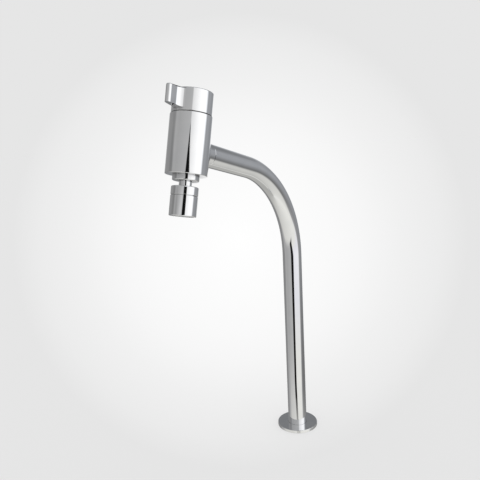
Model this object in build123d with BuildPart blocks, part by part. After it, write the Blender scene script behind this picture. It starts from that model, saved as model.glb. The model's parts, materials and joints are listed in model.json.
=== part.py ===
from build123d import *
import os
from math import atan2, cos, degrees, radians, sin, sqrt

# Kitchen tap with a swivelling gooseneck spout and its quarter-turn valve at the spout's end.
# Millimetres, +Z up. The origin is the centre of the base's underside, on the worktop, and the
# spout reaches towards -Y. Threads are plain cylinders at their major diameter.

# Fits and small clearances, radial unless said otherwise
running_fit = 0.05      # a turning piece in its bore
seat_fit = 0.02         # a ring in the groove that holds it
braze_gap = 0.05        # filled when the spout is brazed
thread_fit = 0.03       # a thread in its mate
loose_fit = 0.1         # pieces that slide together by hand
axial_play = 0.2        # along an axis, between turning faces

# Spout tube
tube_diameter = 22.2
tube_wall = 1.2
column_height = 216.2   # worktop to the start of the bend
bend_radius = 110.3     # of the tube's centre line
bend_angle = 76.56      # the arm still climbs where the bend ends
arm_length = 88.1       # end of the bend to the valve's axis
seam_chamfer = 0.25     # the fine line where tube and boss meet

# Base cover and the gasket under the foot
cover_diameter = 48.0
cover_height = 3.6
cover_wall = 1.0
cover_edge = 0.4
gasket_inset = 2.4
gasket_width = 3.0
gasket_depth = 1.6

# Threaded shank, G1/2, and the clamp under the worktop
shank_thread_diameter = 20.955
shank_spare_thread = 12.0
shank_chamfer = 1.0
worktop_thickness = 30.0
clamp_ring_width = 7.0
clamp_gasket_thickness = 3.0
clamp_washer_thickness = 2.0
backnut_wall = 3.0
backnut_height = 8.0
backnut_edge = 0.8

# Swivel: the spigot on the shank inside the bush in the spout
bush_wall = 1.8
spigot_gap = 0.25
spigot_wall = 2.8
spigot_nose = 1.0       # spigot above the bush
swivel_land = 2.6       # plain length between two grooves
slip_ring_height = 4.0
slip_ring_depth = 0.8
slip_ring_arc = 354.0
seal_groove_width = 2.4
seal_groove_depth = 1.6
seal_count = 2
snap_wire = 1.5
snap_groove_depth = 0.8
snap_room = 0.15
snap_ring_arc = 330.0
thrust_ring_thickness = 0.6

# Valve body, measured from the arm's axis along the valve's own axis
body_diameter = 38.0
body_rise = 30.2
body_top_chamfer = 0.5
body_bottom_fillet = 0.6
boss_fillet = 5.0
boss_land = 1.0         # plain end of the boss past its fillet
nipple_wall = 1.6
nipple_thread_depth = 0.4
nipple_thread_length = 7.0
nipple_braze_length = 10.0
nipple_seal_width = 1.8
nipple_seal_depth = 0.8
seat_drop = 2.15        # valve seat under the inlet bore
seat_web = 4.0
seat_port_diameter = 9.0
outlet_thread_length = 8.0

# Quarter-turn cartridge with a G1/2 neck
neck_thread_diameter = 20.955
neck_thread_length = 14.0
neck_shoulder = 1.72    # flange past the thread, also on the outlet collar
housing_wall = 1.2
housing_flow_gap = 1.1  # round the housing's nose
housing_lift = 2.0      # nose above the valve seat
seat_seal_height = 3.0
seat_seal_width = 1.4
disc_diameter = 15.2
disc_thickness = 3.4
port_mid_radius = 4.5
port_width = 3.0
port_half_arc = 20.0
notch_mid_radius = 6.2
notch_width = 6.0
notch_half_arc = 10.0
lug_width = 3.0
lug_reach = 0.9
window_width = 9.0
window_height = 4.4
neck_washer_thickness = 0.8
housing_flange_height = 2.0
housing_flats = 17.0
housing_hex_height = 5.0

# Spindle
foot_height = 4.0
tang_width = 2.4
tang_length = 9.0
tang_depth = 1.3
spindle_washer_thickness = 0.8
spindle_diameter = 9.8
spindle_seal_width = 1.9
spindle_seal_depth = 1.3
spindle_seal_drop = 6.0 # housing's top to the upper groove
spindle_seal_pitch = 5.0
spindle_seal_count = 2

# Quarter-turn stop
stop_ring_wall = 1.45
stop_rim_width = 2.0
stop_rim_height = 2.0
stop_rim_arc = 180.0
stop_lug_arc = 89.0
handle_turn = 90.0
clip_thickness = 0.8
clip_groove_depth = 0.7
clip_width = 1.6
clip_arc = 300.0
clip_clearance = 0.7    # clip to the adapter

# Splined top of the spindle and the adapter on it
spline_diameter = 8.0
spline_teeth = 20
spline_tooth = 0.35
spline_grip = 3.0
adapter_diameter = 18.0
adapter_web = 1.6
screw_diameter = 4.0
screw_length = 9.0
screw_head_diameter = 7.0
screw_head_height = 2.0
screw_head_recess = 2.2
hex_key = 2.5
hex_key_depth = 1.4

# Handle cap with its fin
cap_step = 0.7          # cap's radius under the body's
cap_wall = 2.0
cap_top_wall = 1.8
cap_top_fillet = 0.8
cap_bottom_fillet = 0.4
cap_ceiling_gap = 0.5
cap_seam = 0.6
hub_wall = 2.4
hub_rib_width = 9.0
fin_thickness = 5.6
fin_straight = 6.1      # flat sides between the flares and the round nose
fin_flare_radius = 8.5
fin_flare_sink = 0.1
fin_drop = 1.0          # fin's top under the cap's top
fin_clear_root = 2.4    # fin's underside above the cap's lower edge
fin_clear_tip = 3.6
fin_edge_fillet = 0.9
grub_diameter = 5.0
grub_recess = 0.7
grub_dimple = 0.8

# Outlet collar and the ball stem held in it
collar_height = 5.2
collar_fillet = 1.2
collar_web = 2.0
collar_wall = 1.8
collar_gasket_thickness = 1.0
stem_washer_thickness = 0.8
stem_diameter = 11.6
stem_bore_diameter = 7.0
stem_seal_width = 2.2
stem_seal_depth = 1.5
stem_seal_lift = 1.1
neck_length = 4.8       # collar to the spray head

# Spray head on its ball
ball_overhang = 2.8     # ball's radius past the neck's
ball_flat_cut = 2.0
ball_depth = 6.6        # head's top to the ball's centre
socket_mouth_gap = 1.65 # neck to the socket's mouth
socket_mouth_flare = 0.9
socket_skirt = 1.3
seat_wall = 0.45
ball_port_diameter = 8.4
ring_thread_wall = 1.97
ring_thread_length = 4.3
head_top_fillet = 1.0
head_groove_chamfer = 0.6
head_bottom_fillet = 1.0
barrel_wall = 1.15
barrel_lip_height = 1.15
barrel_lip_width = 1.2
head_washer_thickness = 1.0
head_washer_width = 4.4

# Aerator inside the spray head, from the top down
regulator_height = 2.2
regulator_base = 0.7
regulator_hub_radius = 4.0
regulator_ring_section = 1.4
regulator_hole_inset = 1.6
regulator_hole_diameter = 1.6
regulator_hole_count = 12
jet_plate_height = 1.2
jet_rings = ((2.3, 18), (4.9, 12))  # inset from the plate's edge, count
jet_diameter = 1.0
mixing_height = 3.2
screen_thickness = 0.3
screen_count = 2
screen_hole_diameter = 1.0
screen_hole_pitch = 1.7
grid_height = 1.6
grid_cell = 2.2
grid_web = 0.5
insert_wall = 1.1
insert_ledge = 0.8
air_slot_count = 12
air_slot_width = 2.2
air_slot_roof = 0.8     # wall left under the jet plate

# Radii, from the inside out where one piece fits in another
tube_radius = tube_diameter / 2
tube_bore_radius = tube_radius - tube_wall
bush_radius = tube_bore_radius - braze_gap
bush_bore_radius = bush_radius - bush_wall
spigot_radius = bush_bore_radius - spigot_gap
shank_bore_radius = spigot_radius - spigot_wall
shank_radius = shank_thread_diameter / 2
cover_radius = cover_diameter / 2
shoulder_radius = cover_radius - cover_wall - loose_fit
gasket_outer_radius = shoulder_radius - gasket_inset
gasket_inner_radius = gasket_outer_radius - gasket_width
clamp_bore_radius = shank_radius + loose_fit
clamp_ring_radius = clamp_bore_radius + clamp_ring_width
backnut_bore_radius = shank_radius + thread_fit
body_radius = body_diameter / 2
boss_reach = body_radius + boss_fillet + boss_land
nipple_bore_radius = bush_radius - nipple_wall
nipple_thread_radius = bush_radius - nipple_thread_depth
nipple_groove_radius = nipple_thread_radius - nipple_seal_depth
disc_radius = disc_diameter / 2
housing_bore_radius = disc_radius + loose_fit
housing_nose_radius = housing_bore_radius + housing_wall
chamber_radius = housing_nose_radius + housing_flow_gap
neck_thread_radius = neck_thread_diameter / 2
neck_flange_radius = neck_thread_radius + neck_shoulder
spindle_radius = spindle_diameter / 2
spindle_bore_radius = spindle_radius + running_fit
spindle_groove_radius = spindle_radius - spindle_seal_depth
spline_radius = spline_diameter / 2
spline_bore_radius = spline_radius + spline_tooth + loose_fit
clip_groove_radius = spline_radius - clip_groove_depth
stop_ring_radius = spline_bore_radius + stop_ring_wall
stop_rim_inner_radius = stop_ring_radius + loose_fit
stop_rim_outer_radius = stop_rim_inner_radius + stop_rim_width
adapter_radius = adapter_diameter / 2
screw_radius = screw_diameter / 2
screw_head_radius = screw_head_diameter / 2
grub_radius = grub_diameter / 2
hub_radius = adapter_radius + hub_wall
cap_radius = body_radius - cap_step
cap_inner_radius = cap_radius - cap_wall
collar_thread_radius = neck_thread_radius - thread_fit
collar_bore_radius = collar_thread_radius - collar_wall
stem_radius = stem_diameter / 2
stem_bore_radius = stem_bore_diameter / 2
stem_flange_radius = collar_bore_radius - running_fit
stem_groove_radius = stem_flange_radius - stem_seal_depth
ball_radius = stem_radius + ball_overhang
ball_flat = ball_radius - ball_flat_cut
socket_radius = ball_radius + running_fit
socket_mouth_radius = stem_radius + socket_mouth_gap
socket_mouth_height = sqrt(socket_radius**2 - socket_mouth_radius**2)
ball_seat_radius = socket_radius + seat_wall
ring_bore_radius = ball_seat_radius + loose_fit
ring_thread_radius = ring_bore_radius + ring_thread_wall
barrel_bore_radius = ring_thread_radius + thread_fit
head_radius = barrel_bore_radius + barrel_wall
insert_radius = barrel_bore_radius - loose_fit
insert_bore_radius = insert_radius - insert_wall
plate_radius = insert_bore_radius - loose_fit
mixing_radius = insert_bore_radius - insert_ledge
screen_radius = mixing_radius - loose_fit

# The valve stands square on the arm, where the spout ends
turn = radians(bend_angle)
arm_outward = Vector(0, -sin(turn), cos(turn))
arm_inward = Vector(0, sin(turn), -cos(turn))
valve_up = Vector(0, cos(turn), sin(turn))
bend_end = Vector(0, -bend_radius * (1 - cos(turn)), column_height + bend_radius * sin(turn))
bend_middle = Vector(
    0,
    -bend_radius * (1 - cos(turn / 2)),
    column_height + bend_radius * sin(turn / 2),
)
valve_origin = bend_end + arm_outward * arm_length
tube_end = valve_origin + arm_inward * boss_reach
valve_axis = Axis(valve_origin, valve_up)
arm_axis = Axis(valve_origin, arm_inward)

# Sketch planes: sections hold turning profiles, plans look along the axis
column_section = Plane.XZ
valve_section = Plane(valve_origin, x_dir=(1, 0, 0), z_dir=arm_outward)
valve_plan = Plane(valve_origin, x_dir=(1, 0, 0), z_dir=valve_up)
valve_side = Plane(valve_origin, x_dir=arm_inward, z_dir=(1, 0, 0))
arm_section = valve_plan
arm_plan = Plane(valve_origin, x_dir=(1, 0, 0), z_dir=arm_inward)

# Heights on the column, from the worktop up
shoulder_top = cover_height - cover_wall
tube_foot = shoulder_top + thrust_ring_thickness
lower_slip_ring = tube_foot + swivel_land
seal_grooves = [
    lower_slip_ring + slip_ring_height + swivel_land + i * (seal_groove_width + swivel_land)
    for i in range(seal_count)
]
upper_slip_ring = seal_grooves[-1] + seal_groove_width + swivel_land
slip_ring_grooves = (lower_slip_ring, upper_slip_ring)
snap_groove = upper_slip_ring + slip_ring_height + swivel_land
snap_groove_width = snap_wire + axial_play
bush_top = snap_groove + snap_groove_width + swivel_land
spigot_top = bush_top + spigot_nose

# Heights under the worktop
clamp_gasket_top = -worktop_thickness
clamp_washer_top = clamp_gasket_top - clamp_gasket_thickness
backnut_top = clamp_washer_top - clamp_washer_thickness
shank_bottom = backnut_top - backnut_height - shank_spare_thread

# Heights on the valve's axis, from the arm's axis up
seat_top = -nipple_bore_radius - seat_drop
fixed_disc_bottom = seat_top + seat_seal_height
moving_disc_bottom = fixed_disc_bottom + disc_thickness
foot_bottom = moving_disc_bottom + disc_thickness
foot_top = foot_bottom + foot_height
housing_bottom = seat_top + housing_lift
housing_shoulder = foot_top + spindle_washer_thickness
neck_thread_bottom = body_rise - neck_thread_length
flange_bottom = body_rise + neck_washer_thickness
hex_bottom = flange_bottom + housing_flange_height
stop_rim_bottom = hex_bottom + housing_hex_height
stop_rim_top = stop_rim_bottom + stop_rim_height
stop_ring_bottom = stop_rim_bottom + axial_play
spindle_grooves = [
    stop_rim_bottom - spindle_seal_drop - i * spindle_seal_pitch
    for i in range(spindle_seal_count)
]
clip_top = stop_rim_top + clip_thickness
adapter_bottom = clip_top + clip_clearance
spline_top = adapter_bottom + spline_grip
adapter_web_bottom = spline_top + axial_play
screw_head_bottom = adapter_web_bottom + adapter_web
screw_head_top = screw_head_bottom + screw_head_height
screw_bottom = spline_top - screw_length + axial_play
adapter_top = screw_head_bottom + screw_head_recess
grub_height = (adapter_bottom + adapter_top) / 2
cap_bottom = body_rise + cap_seam
cap_ceiling = adapter_top + cap_ceiling_gap
cap_top = cap_ceiling + cap_top_wall
fin_bottom = cap_bottom + fin_clear_root
fin_top = cap_top - fin_drop

# Heights under the valve seat, from the arm's axis down
web_bottom = seat_top - seat_web
collar_top = web_bottom - collar_gasket_thickness
stem_top = collar_top + 2 * axial_play
body_bottom = web_bottom - outlet_thread_length
collar_bottom = body_bottom - collar_height
collar_shelf = collar_bottom + collar_web
stem_flange_bottom = collar_shelf + stem_washer_thickness
stem_groove = stem_flange_bottom + stem_seal_lift
head_top = collar_bottom - neck_length
ball_centre = head_top - ball_depth
ball_seat_top = ball_centre - 3 * axial_play
ball_seat_bottom = ball_centre - ball_radius
ring_bottom = ball_centre - socket_skirt
ring_thread_bottom = ring_bottom - ring_thread_length
seat_foot_top = ring_thread_bottom - axial_play
head_washer_top = ball_seat_bottom - axial_play
insert_top = head_washer_top - head_washer_thickness
jet_plate_top = insert_top - regulator_height
jet_plate_bottom = jet_plate_top - jet_plate_height
grid_top = jet_plate_bottom - mixing_height - screen_count * screen_thickness
insert_bottom = grid_top - grid_height
head_bottom = insert_bottom - barrel_lip_height


def band(inner, outer, low, high, mode=Mode.ADD):
    """A rectangle in a turning profile: inner and outer radius, low and high end."""
    with Locations((inner, low)):
        Rectangle(outer - inner, high - low, align=(Align.MIN, Align.MIN), mode=mode)


def round_section(inner, outer, height):
    """A round section that fills the space between two radii, centred at a height."""
    with Locations(((inner + outer) / 2, height)):
        Circle((outer - inner) / 2)


def splined_outline(radius):
    """A circle with small pointed teeth all round, for the spindle's top."""
    Circle(radius)
    with PolarLocations(radius, spline_teeth):
        RegularPolygon(spline_tooth, 4)


def outer_rim(edges, axis, end):
    """The widest circle among the lowest (0) or highest (-1) edges along an axis."""
    return edges.filter_by(GeomType.CIRCLE).group_by(axis)[end].sort_by(SortBy.RADIUS)[-1]


# Threaded shank: clamped foot, G1/2 thread below it and the spigot that the spout turns on
with BuildPart() as mounting_shank:
    with BuildSketch(column_section):
        band(shank_bore_radius, shoulder_radius, 0, shoulder_top)
        band(shank_bore_radius, shank_radius, shank_bottom, 0)
        band(shank_bore_radius, spigot_radius, shoulder_top, spigot_top)
        band(gasket_inner_radius, gasket_outer_radius, 0, gasket_depth, Mode.SUBTRACT)
        for low in slip_ring_grooves:
            high = low + slip_ring_height
            band(spigot_radius - slip_ring_depth, spigot_radius, low, high, Mode.SUBTRACT)
        for low in seal_grooves:
            high = low + seal_groove_width
            band(spigot_radius - seal_groove_depth, spigot_radius, low, high, Mode.SUBTRACT)
        high = snap_groove + snap_groove_width
        band(spigot_radius - snap_groove_depth, spigot_radius, snap_groove, high, Mode.SUBTRACT)
    revolve(axis=Axis.Z)
    chamfer(outer_rim(mounting_shank.edges(), Axis.Z, 0), shank_chamfer)
    chamfer(outer_rim(mounting_shank.edges(), Axis.Z, -1), spigot_nose / 2)

# Base cover: the bright disc round the foot of the column
with BuildPart() as base_cover:
    with BuildSketch(column_section):
        band(tube_radius + loose_fit, cover_radius, 0, cover_height)
        band(tube_radius + loose_fit, cover_radius - cover_wall, 0, shoulder_top, Mode.SUBTRACT)
    revolve(axis=Axis.Z)
    fillet(outer_rim(base_cover.edges(), Axis.Z, -1), cover_edge)

# Base gasket: flat rubber ring in the foot's groove, level with the worktop
with BuildPart() as base_gasket:
    with BuildSketch(column_section):
        band(gasket_inner_radius + seat_fit, gasket_outer_radius - seat_fit, 0, gasket_depth)
    revolve(axis=Axis.Z)

# Clamp under the worktop: rubber ring, steel washer and hexagonal backnut
with BuildPart() as clamp_gasket:
    with BuildSketch(column_section):
        band(clamp_bore_radius, clamp_ring_radius, clamp_washer_top, clamp_gasket_top)
    revolve(axis=Axis.Z)

with BuildPart() as clamp_washer:
    with BuildSketch(column_section):
        band(clamp_bore_radius, clamp_ring_radius, backnut_top, clamp_washer_top)
    revolve(axis=Axis.Z)

with BuildPart() as backnut:
    with BuildSketch(Plane.XY.offset(backnut_top)):
        RegularPolygon(backnut_bore_radius + backnut_wall, 6, major_radius=False)
        Circle(backnut_bore_radius, mode=Mode.SUBTRACT)
    extrude(amount=-backnut_height)
    chamfer(backnut.edges().filter_by(Axis.Z), backnut_edge)

# Swivel pieces on the spigot: slip rings, seals, snap ring and the thrust ring under the tube
with BuildPart() as slip_rings:
    with BuildSketch(column_section):
        for low in slip_ring_grooves:
            inner = spigot_radius - slip_ring_depth + seat_fit
            band(inner, bush_bore_radius - running_fit, low, low + slip_ring_height)
    revolve(axis=Axis.Z, revolution_arc=slip_ring_arc)

with BuildPart() as swivel_seals:
    with BuildSketch(column_section):
        for low in seal_grooves:
            inner = spigot_radius - seal_groove_depth + seat_fit
            round_section(inner, bush_bore_radius - running_fit, low + seal_groove_width / 2)
    revolve(axis=Axis.Z)

snap_ring_inner_radius = spigot_radius - snap_groove_depth + seat_fit
snap_ring_outer_radius = snap_ring_inner_radius + snap_wire
with BuildPart() as snap_ring:
    with BuildSketch(column_section):
        middle = snap_groove + snap_groove_width / 2
        round_section(snap_ring_inner_radius, snap_ring_outer_radius, middle)
    revolve(axis=Axis.Z, revolution_arc=snap_ring_arc)

with BuildPart() as thrust_ring:
    with BuildSketch(column_section):
        band(bush_bore_radius, tube_radius - loose_fit, shoulder_top, tube_foot)
    revolve(axis=Axis.Z)

# Spout: one bent tube with a turned bush brazed into its foot
with BuildPart() as gooseneck_tube:
    with BuildLine():
        Line((0, 0, tube_foot), (0, 0, column_height))
        ThreePointArc((0, 0, column_height), bend_middle, bend_end)
        Line(bend_end, tube_end)
    with BuildSketch(Plane.XY.offset(tube_foot)):
        Circle(tube_radius)
        Circle(tube_bore_radius, mode=Mode.SUBTRACT)
    sweep()
    end_rims = gooseneck_tube.edges().filter_by(GeomType.CIRCLE).sort_by_distance(tube_end)[:2]
    chamfer(end_rims.sort_by(SortBy.RADIUS)[-1], seam_chamfer)

with BuildPart() as swivel_bush:
    with BuildSketch(column_section):
        band(bush_bore_radius, bush_radius, tube_foot, bush_top)
        outer = snap_ring_outer_radius + snap_room
        high = snap_groove + snap_groove_width
        band(bush_bore_radius, outer, snap_groove, high, Mode.SUBTRACT)
    revolve(axis=Axis.Z)

# Nipple: brazed into the tube's far end and screwed into the valve body over a seal
nipple_nose = boss_reach - nipple_thread_length
nipple_groove = nipple_nose + nipple_seal_width / 2
nipple_groove_end = nipple_groove + nipple_seal_width
with BuildPart() as tube_nipple:
    with BuildSketch(arm_section):
        band(nipple_bore_radius, bush_radius, boss_reach, boss_reach + nipple_braze_length)
        band(nipple_bore_radius, nipple_thread_radius, nipple_nose, boss_reach)
        band(
            nipple_groove_radius,
            nipple_thread_radius,
            nipple_groove,
            nipple_groove_end,
            Mode.SUBTRACT,
        )
    revolve(axis=arm_axis)

with BuildPart() as nipple_seal:
    with BuildSketch(arm_section):
        inner = nipple_groove_radius + seat_fit
        band(inner, nipple_thread_radius, nipple_groove, nipple_groove_end)
    revolve(axis=arm_axis)

# Valve body: brass cylinder with a filleted boss for the arm, bored through for the water
with BuildPart() as valve_body:
    with BuildSketch(valve_section):
        band(0, body_radius, body_bottom, body_rise)
    revolve(axis=valve_axis)
    with BuildSketch(arm_plan):
        Circle(tube_radius)
    extrude(amount=boss_reach)
    fillet(valve_body.edges().filter_by(GeomType.BSPLINE), boss_fillet)
    chamfer(outer_rim(valve_body.edges(), arm_axis, -1), seam_chamfer)
    chamfer(outer_rim(valve_body.edges(), valve_axis, -1), body_top_chamfer)
    fillet(outer_rim(valve_body.edges(), valve_axis, 0), body_bottom_fillet)
    with BuildSketch(valve_section):
        band(0, neck_thread_radius, neck_thread_bottom, body_rise)
        band(0, chamber_radius, seat_top, neck_thread_bottom)
        band(0, seat_port_diameter / 2, web_bottom, seat_top)
        band(0, neck_thread_radius, body_bottom, web_bottom)
    revolve(axis=valve_axis, mode=Mode.SUBTRACT)
    with BuildSketch(arm_section):
        band(0, nipple_bore_radius, 0, boss_reach)
        band(0, nipple_thread_radius + thread_fit, nipple_nose, boss_reach)
    revolve(axis=arm_axis, mode=Mode.SUBTRACT)

# Cartridge housing: threaded brass sleeve with side windows, a hexagon and the stop rim
with BuildPart() as cartridge_housing:
    with BuildSketch(valve_section):
        band(housing_bore_radius, housing_nose_radius, housing_bottom, housing_shoulder)
        band(spindle_bore_radius, housing_nose_radius, housing_shoulder, neck_thread_bottom)
        outer = neck_thread_radius - thread_fit
        band(spindle_bore_radius, outer, neck_thread_bottom, flange_bottom)
        band(spindle_bore_radius, neck_flange_radius, flange_bottom, hex_bottom)
    revolve(axis=valve_axis)
    with BuildSketch(valve_plan.offset(hex_bottom)):
        RegularPolygon(housing_flats / 2, 6, major_radius=False)
        Circle(spindle_bore_radius, mode=Mode.SUBTRACT)
    extrude(amount=housing_hex_height)
    with BuildSketch(valve_section):
        band(stop_rim_inner_radius, stop_rim_outer_radius, stop_rim_bottom, stop_rim_top)
    revolve(axis=valve_axis, revolution_arc=stop_rim_arc)
    with BuildSketch(valve_side):
        with Locations((0, moving_disc_bottom)):
            Rectangle(window_width, window_height, align=(Align.CENTER, Align.MIN))
    extrude(amount=chamber_radius, both=True, mode=Mode.SUBTRACT)
    with BuildSketch(valve_section):
        with Locations((0, moving_disc_bottom)):
            Rectangle(
                lug_width + 2 * loose_fit,
                moving_disc_bottom - housing_bottom,
                align=(Align.CENTER, Align.MAX),
            )
    extrude(amount=chamber_radius, both=True, mode=Mode.SUBTRACT)

with BuildPart() as neck_washer:
    with BuildSketch(valve_section):
        band(neck_thread_radius + loose_fit, neck_flange_radius, body_rise, flange_bottom)
    revolve(axis=valve_axis)

# Seat seal and ceramic discs: two kidney ports below, two open notches above
with BuildPart() as seat_seal:
    with BuildSketch(valve_section):
        band(disc_radius - seat_seal_width, disc_radius, seat_top, fixed_disc_bottom)
    revolve(axis=valve_axis)

with BuildPart() as fixed_disc:
    with BuildSketch(valve_plan.offset(fixed_disc_bottom)):
        Circle(disc_radius)
        Rectangle(lug_width, 2 * (disc_radius + lug_reach))
        port_line = CenterArc(
            (0, 0), port_mid_radius, -port_half_arc, 2 * port_half_arc, mode=Mode.PRIVATE
        )
        with Locations(Location((0, 0, 0), (0, 0, 0)), Location((0, 0, 0), (0, 0, 180))):
            SlotArc(port_line, port_width, mode=Mode.SUBTRACT)
    extrude(amount=disc_thickness)

with BuildPart() as moving_disc:
    with BuildSketch(valve_plan.offset(moving_disc_bottom)):
        Circle(disc_radius)
        notch_line = CenterArc(
            (0, 0), notch_mid_radius, -notch_half_arc, 2 * notch_half_arc, mode=Mode.PRIVATE
        )
        with Locations(Location((0, 0, 0), (0, 0, 90)), Location((0, 0, 0), (0, 0, 270))):
            SlotArc(notch_line, notch_width, mode=Mode.SUBTRACT)
    extrude(amount=disc_thickness)
    with BuildSketch(valve_plan.offset(foot_bottom)):
        Rectangle(tang_length + 2 * loose_fit, tang_width + 2 * loose_fit)
    extrude(amount=-tang_depth - loose_fit, mode=Mode.SUBTRACT)

# Spindle: foot with a tang, sealed shaft, clip groove and splined top with a tapped hole
with BuildPart() as spindle:
    with BuildSketch(valve_section):
        band(0, disc_radius, foot_bottom, foot_top)
        band(0, spindle_radius, foot_top, stop_ring_bottom)
        band(0, clip_groove_radius, stop_ring_bottom, adapter_bottom)
        for low in spindle_grooves:
            high = low + spindle_seal_width
            band(spindle_groove_radius, spindle_radius, low, high, Mode.SUBTRACT)
    revolve(axis=valve_axis)
    with BuildSketch(valve_plan.offset(foot_bottom)):
        Rectangle(tang_length, tang_width)
    extrude(amount=-tang_depth)
    with BuildSketch(valve_plan.offset(stop_ring_bottom)):
        splined_outline(spline_radius)
    extrude(amount=stop_rim_top - stop_ring_bottom)
    with BuildSketch(valve_plan.offset(clip_top)):
        splined_outline(spline_radius)
    extrude(amount=spline_top - clip_top)
    with BuildSketch(valve_plan.offset(spline_top)):
        Circle(screw_radius + thread_fit)
    extrude(amount=-screw_length, mode=Mode.SUBTRACT)

with BuildPart() as spindle_seals:
    with BuildSketch(valve_section):
        for low in spindle_grooves:
            inner = spindle_groove_radius + seat_fit
            round_section(inner, spindle_radius, low + spindle_seal_width / 2)
    revolve(axis=valve_axis)

with BuildPart() as spindle_washer:
    with BuildSketch(valve_section):
        band(spindle_bore_radius, disc_radius, foot_top, housing_shoulder)
    revolve(axis=valve_axis)

# Stop ring: keyed on the spindle, its lug swings a quarter turn in the gap of the stop rim
stop_slack = (360 - stop_rim_arc - stop_lug_arc - handle_turn) / 2
lug_angle = radians(stop_slack - 180)
lug_start = Vector(cos(lug_angle), 0, 0) + arm_inward * sin(lug_angle)
lug_section = Plane(valve_origin, x_dir=lug_start, z_dir=lug_start.cross(valve_up))
with BuildPart() as stop_ring:
    with BuildSketch(valve_section):
        band(spline_bore_radius, stop_ring_radius, stop_ring_bottom, stop_rim_top)
    revolve(axis=valve_axis)
    with BuildSketch(lug_section):
        inner = (spline_bore_radius + stop_ring_radius) / 2
        band(inner, stop_rim_outer_radius, stop_ring_bottom, stop_rim_top)
    revolve(axis=valve_axis, revolution_arc=stop_lug_arc)

with BuildPart() as spindle_clip:
    with BuildSketch(valve_section):
        inner = clip_groove_radius + seat_fit
        band(inner, clip_groove_radius + clip_width, stop_rim_top, clip_top)
    revolve(axis=valve_axis, revolution_arc=clip_arc)

# Handle adapter: splined brass bush screwed to the spindle, with a dimple for the grub screw
with BuildPart() as handle_adapter:
    with BuildSketch(valve_section):
        band(spline_bore_radius, adapter_radius, adapter_bottom, adapter_web_bottom)
        band(screw_radius + loose_fit, adapter_radius, adapter_web_bottom, screw_head_bottom)
        band(screw_head_radius + loose_fit, adapter_radius, screw_head_bottom, adapter_top)
    revolve(axis=valve_axis)
    with BuildSketch(arm_plan.offset(adapter_radius)):
        with Locations((0, -grub_height)):
            Circle(grub_radius + loose_fit)
    extrude(amount=-grub_dimple, mode=Mode.SUBTRACT)

with BuildPart() as adapter_screw:
    with BuildSketch(valve_section):
        band(0, screw_head_radius, screw_head_bottom, screw_head_top)
        band(0, screw_radius, screw_bottom, screw_head_bottom)
    revolve(axis=valve_axis)
    with BuildSketch(valve_plan.offset(screw_head_top)):
        RegularPolygon(hex_key / 2, 6, major_radius=False)
    extrude(amount=-hex_key_depth, mode=Mode.SUBTRACT)

# Outline of the fin: flares that leave the cap almost at a tangent, flat sides, round nose
fin_half = fin_thickness / 2
flare_root_radius = cap_radius - fin_flare_sink
flare_centre_x = fin_half + fin_flare_radius
flare_centre_y = -sqrt((flare_root_radius + fin_flare_radius) ** 2 - flare_centre_x**2)
flare_arc = degrees(atan2(-flare_centre_y, flare_centre_x))
flare_share = flare_root_radius / (flare_root_radius + fin_flare_radius)
flare_end_x = flare_centre_x * flare_share
flare_end_y = flare_centre_y * flare_share
nose_centre_y = flare_centre_y - fin_straight
fin_far = fin_half - nose_centre_y + fin_half
fin_slope = (fin_clear_tip - fin_clear_root) / (fin_half - nose_centre_y - cap_radius)

# Handle cap: hollow casting with the fin, an inner hub on the adapter and a tapped rib
with BuildPart() as handle_cap:
    with BuildSketch(valve_plan.offset(fin_bottom)):
        with BuildLine():
            CenterArc((flare_centre_x, flare_centre_y), fin_flare_radius, 180, -flare_arc)
            Line((fin_half, flare_centre_y), (fin_half, nose_centre_y))
            CenterArc((0, nose_centre_y), fin_half, 180, 180)
            Line((-fin_half, nose_centre_y), (-fin_half, flare_centre_y))
            CenterArc((-flare_centre_x, flare_centre_y), fin_flare_radius, 0, flare_arc)
            Polyline((-flare_end_x, flare_end_y), (0, 0), (flare_end_x, flare_end_y))
        make_face()
    extrude(amount=fin_top - fin_bottom)
    with BuildSketch(valve_side):
        with BuildLine():
            Polyline(
                (-cap_radius, fin_bottom),
                (-fin_far, fin_bottom + fin_slope * (fin_far - cap_radius)),
                (-fin_far, fin_bottom),
                close=True,
            )
        make_face()
    extrude(amount=fin_thickness, both=True, mode=Mode.SUBTRACT)
    fin_top_edges = handle_cap.faces().sort_by(valve_axis)[-1].edges()
    fin_top_centre = valve_origin + valve_up * fin_top
    fillet(fin_top_edges.sort_by_distance(fin_top_centre)[2:], fin_edge_fillet)

    with BuildSketch(valve_section):
        band(0, cap_radius, cap_bottom, cap_top)
    revolve(axis=valve_axis)
    fillet(outer_rim(handle_cap.edges(), valve_axis, -1), cap_top_fillet)
    fillet(outer_rim(handle_cap.edges(), valve_axis, 0), cap_bottom_fillet)

    with BuildSketch(valve_section):
        band(0, cap_inner_radius, cap_bottom, adapter_bottom)
        band(0, adapter_radius + seat_fit, adapter_bottom, cap_ceiling)
        band(hub_radius, cap_inner_radius, adapter_bottom, cap_ceiling)
    revolve(axis=valve_axis, mode=Mode.SUBTRACT)
    rib_root_radius = hub_radius - hub_wall / 2
    with BuildSketch(arm_plan.offset(rib_root_radius)):
        with Locations((0, -adapter_bottom)):
            Rectangle(
                hub_rib_width,
                cap_ceiling + cap_top_wall / 2 - adapter_bottom,
                align=(Align.CENTER, Align.MAX),
            )
    extrude(amount=cap_inner_radius + cap_wall / 2 - rib_root_radius)
    with BuildSketch(arm_plan.offset(adapter_radius - grub_dimple)):
        with Locations((0, -grub_height)):
            Circle(grub_radius + thread_fit)
    extrude(amount=cap_radius, mode=Mode.SUBTRACT)

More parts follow.
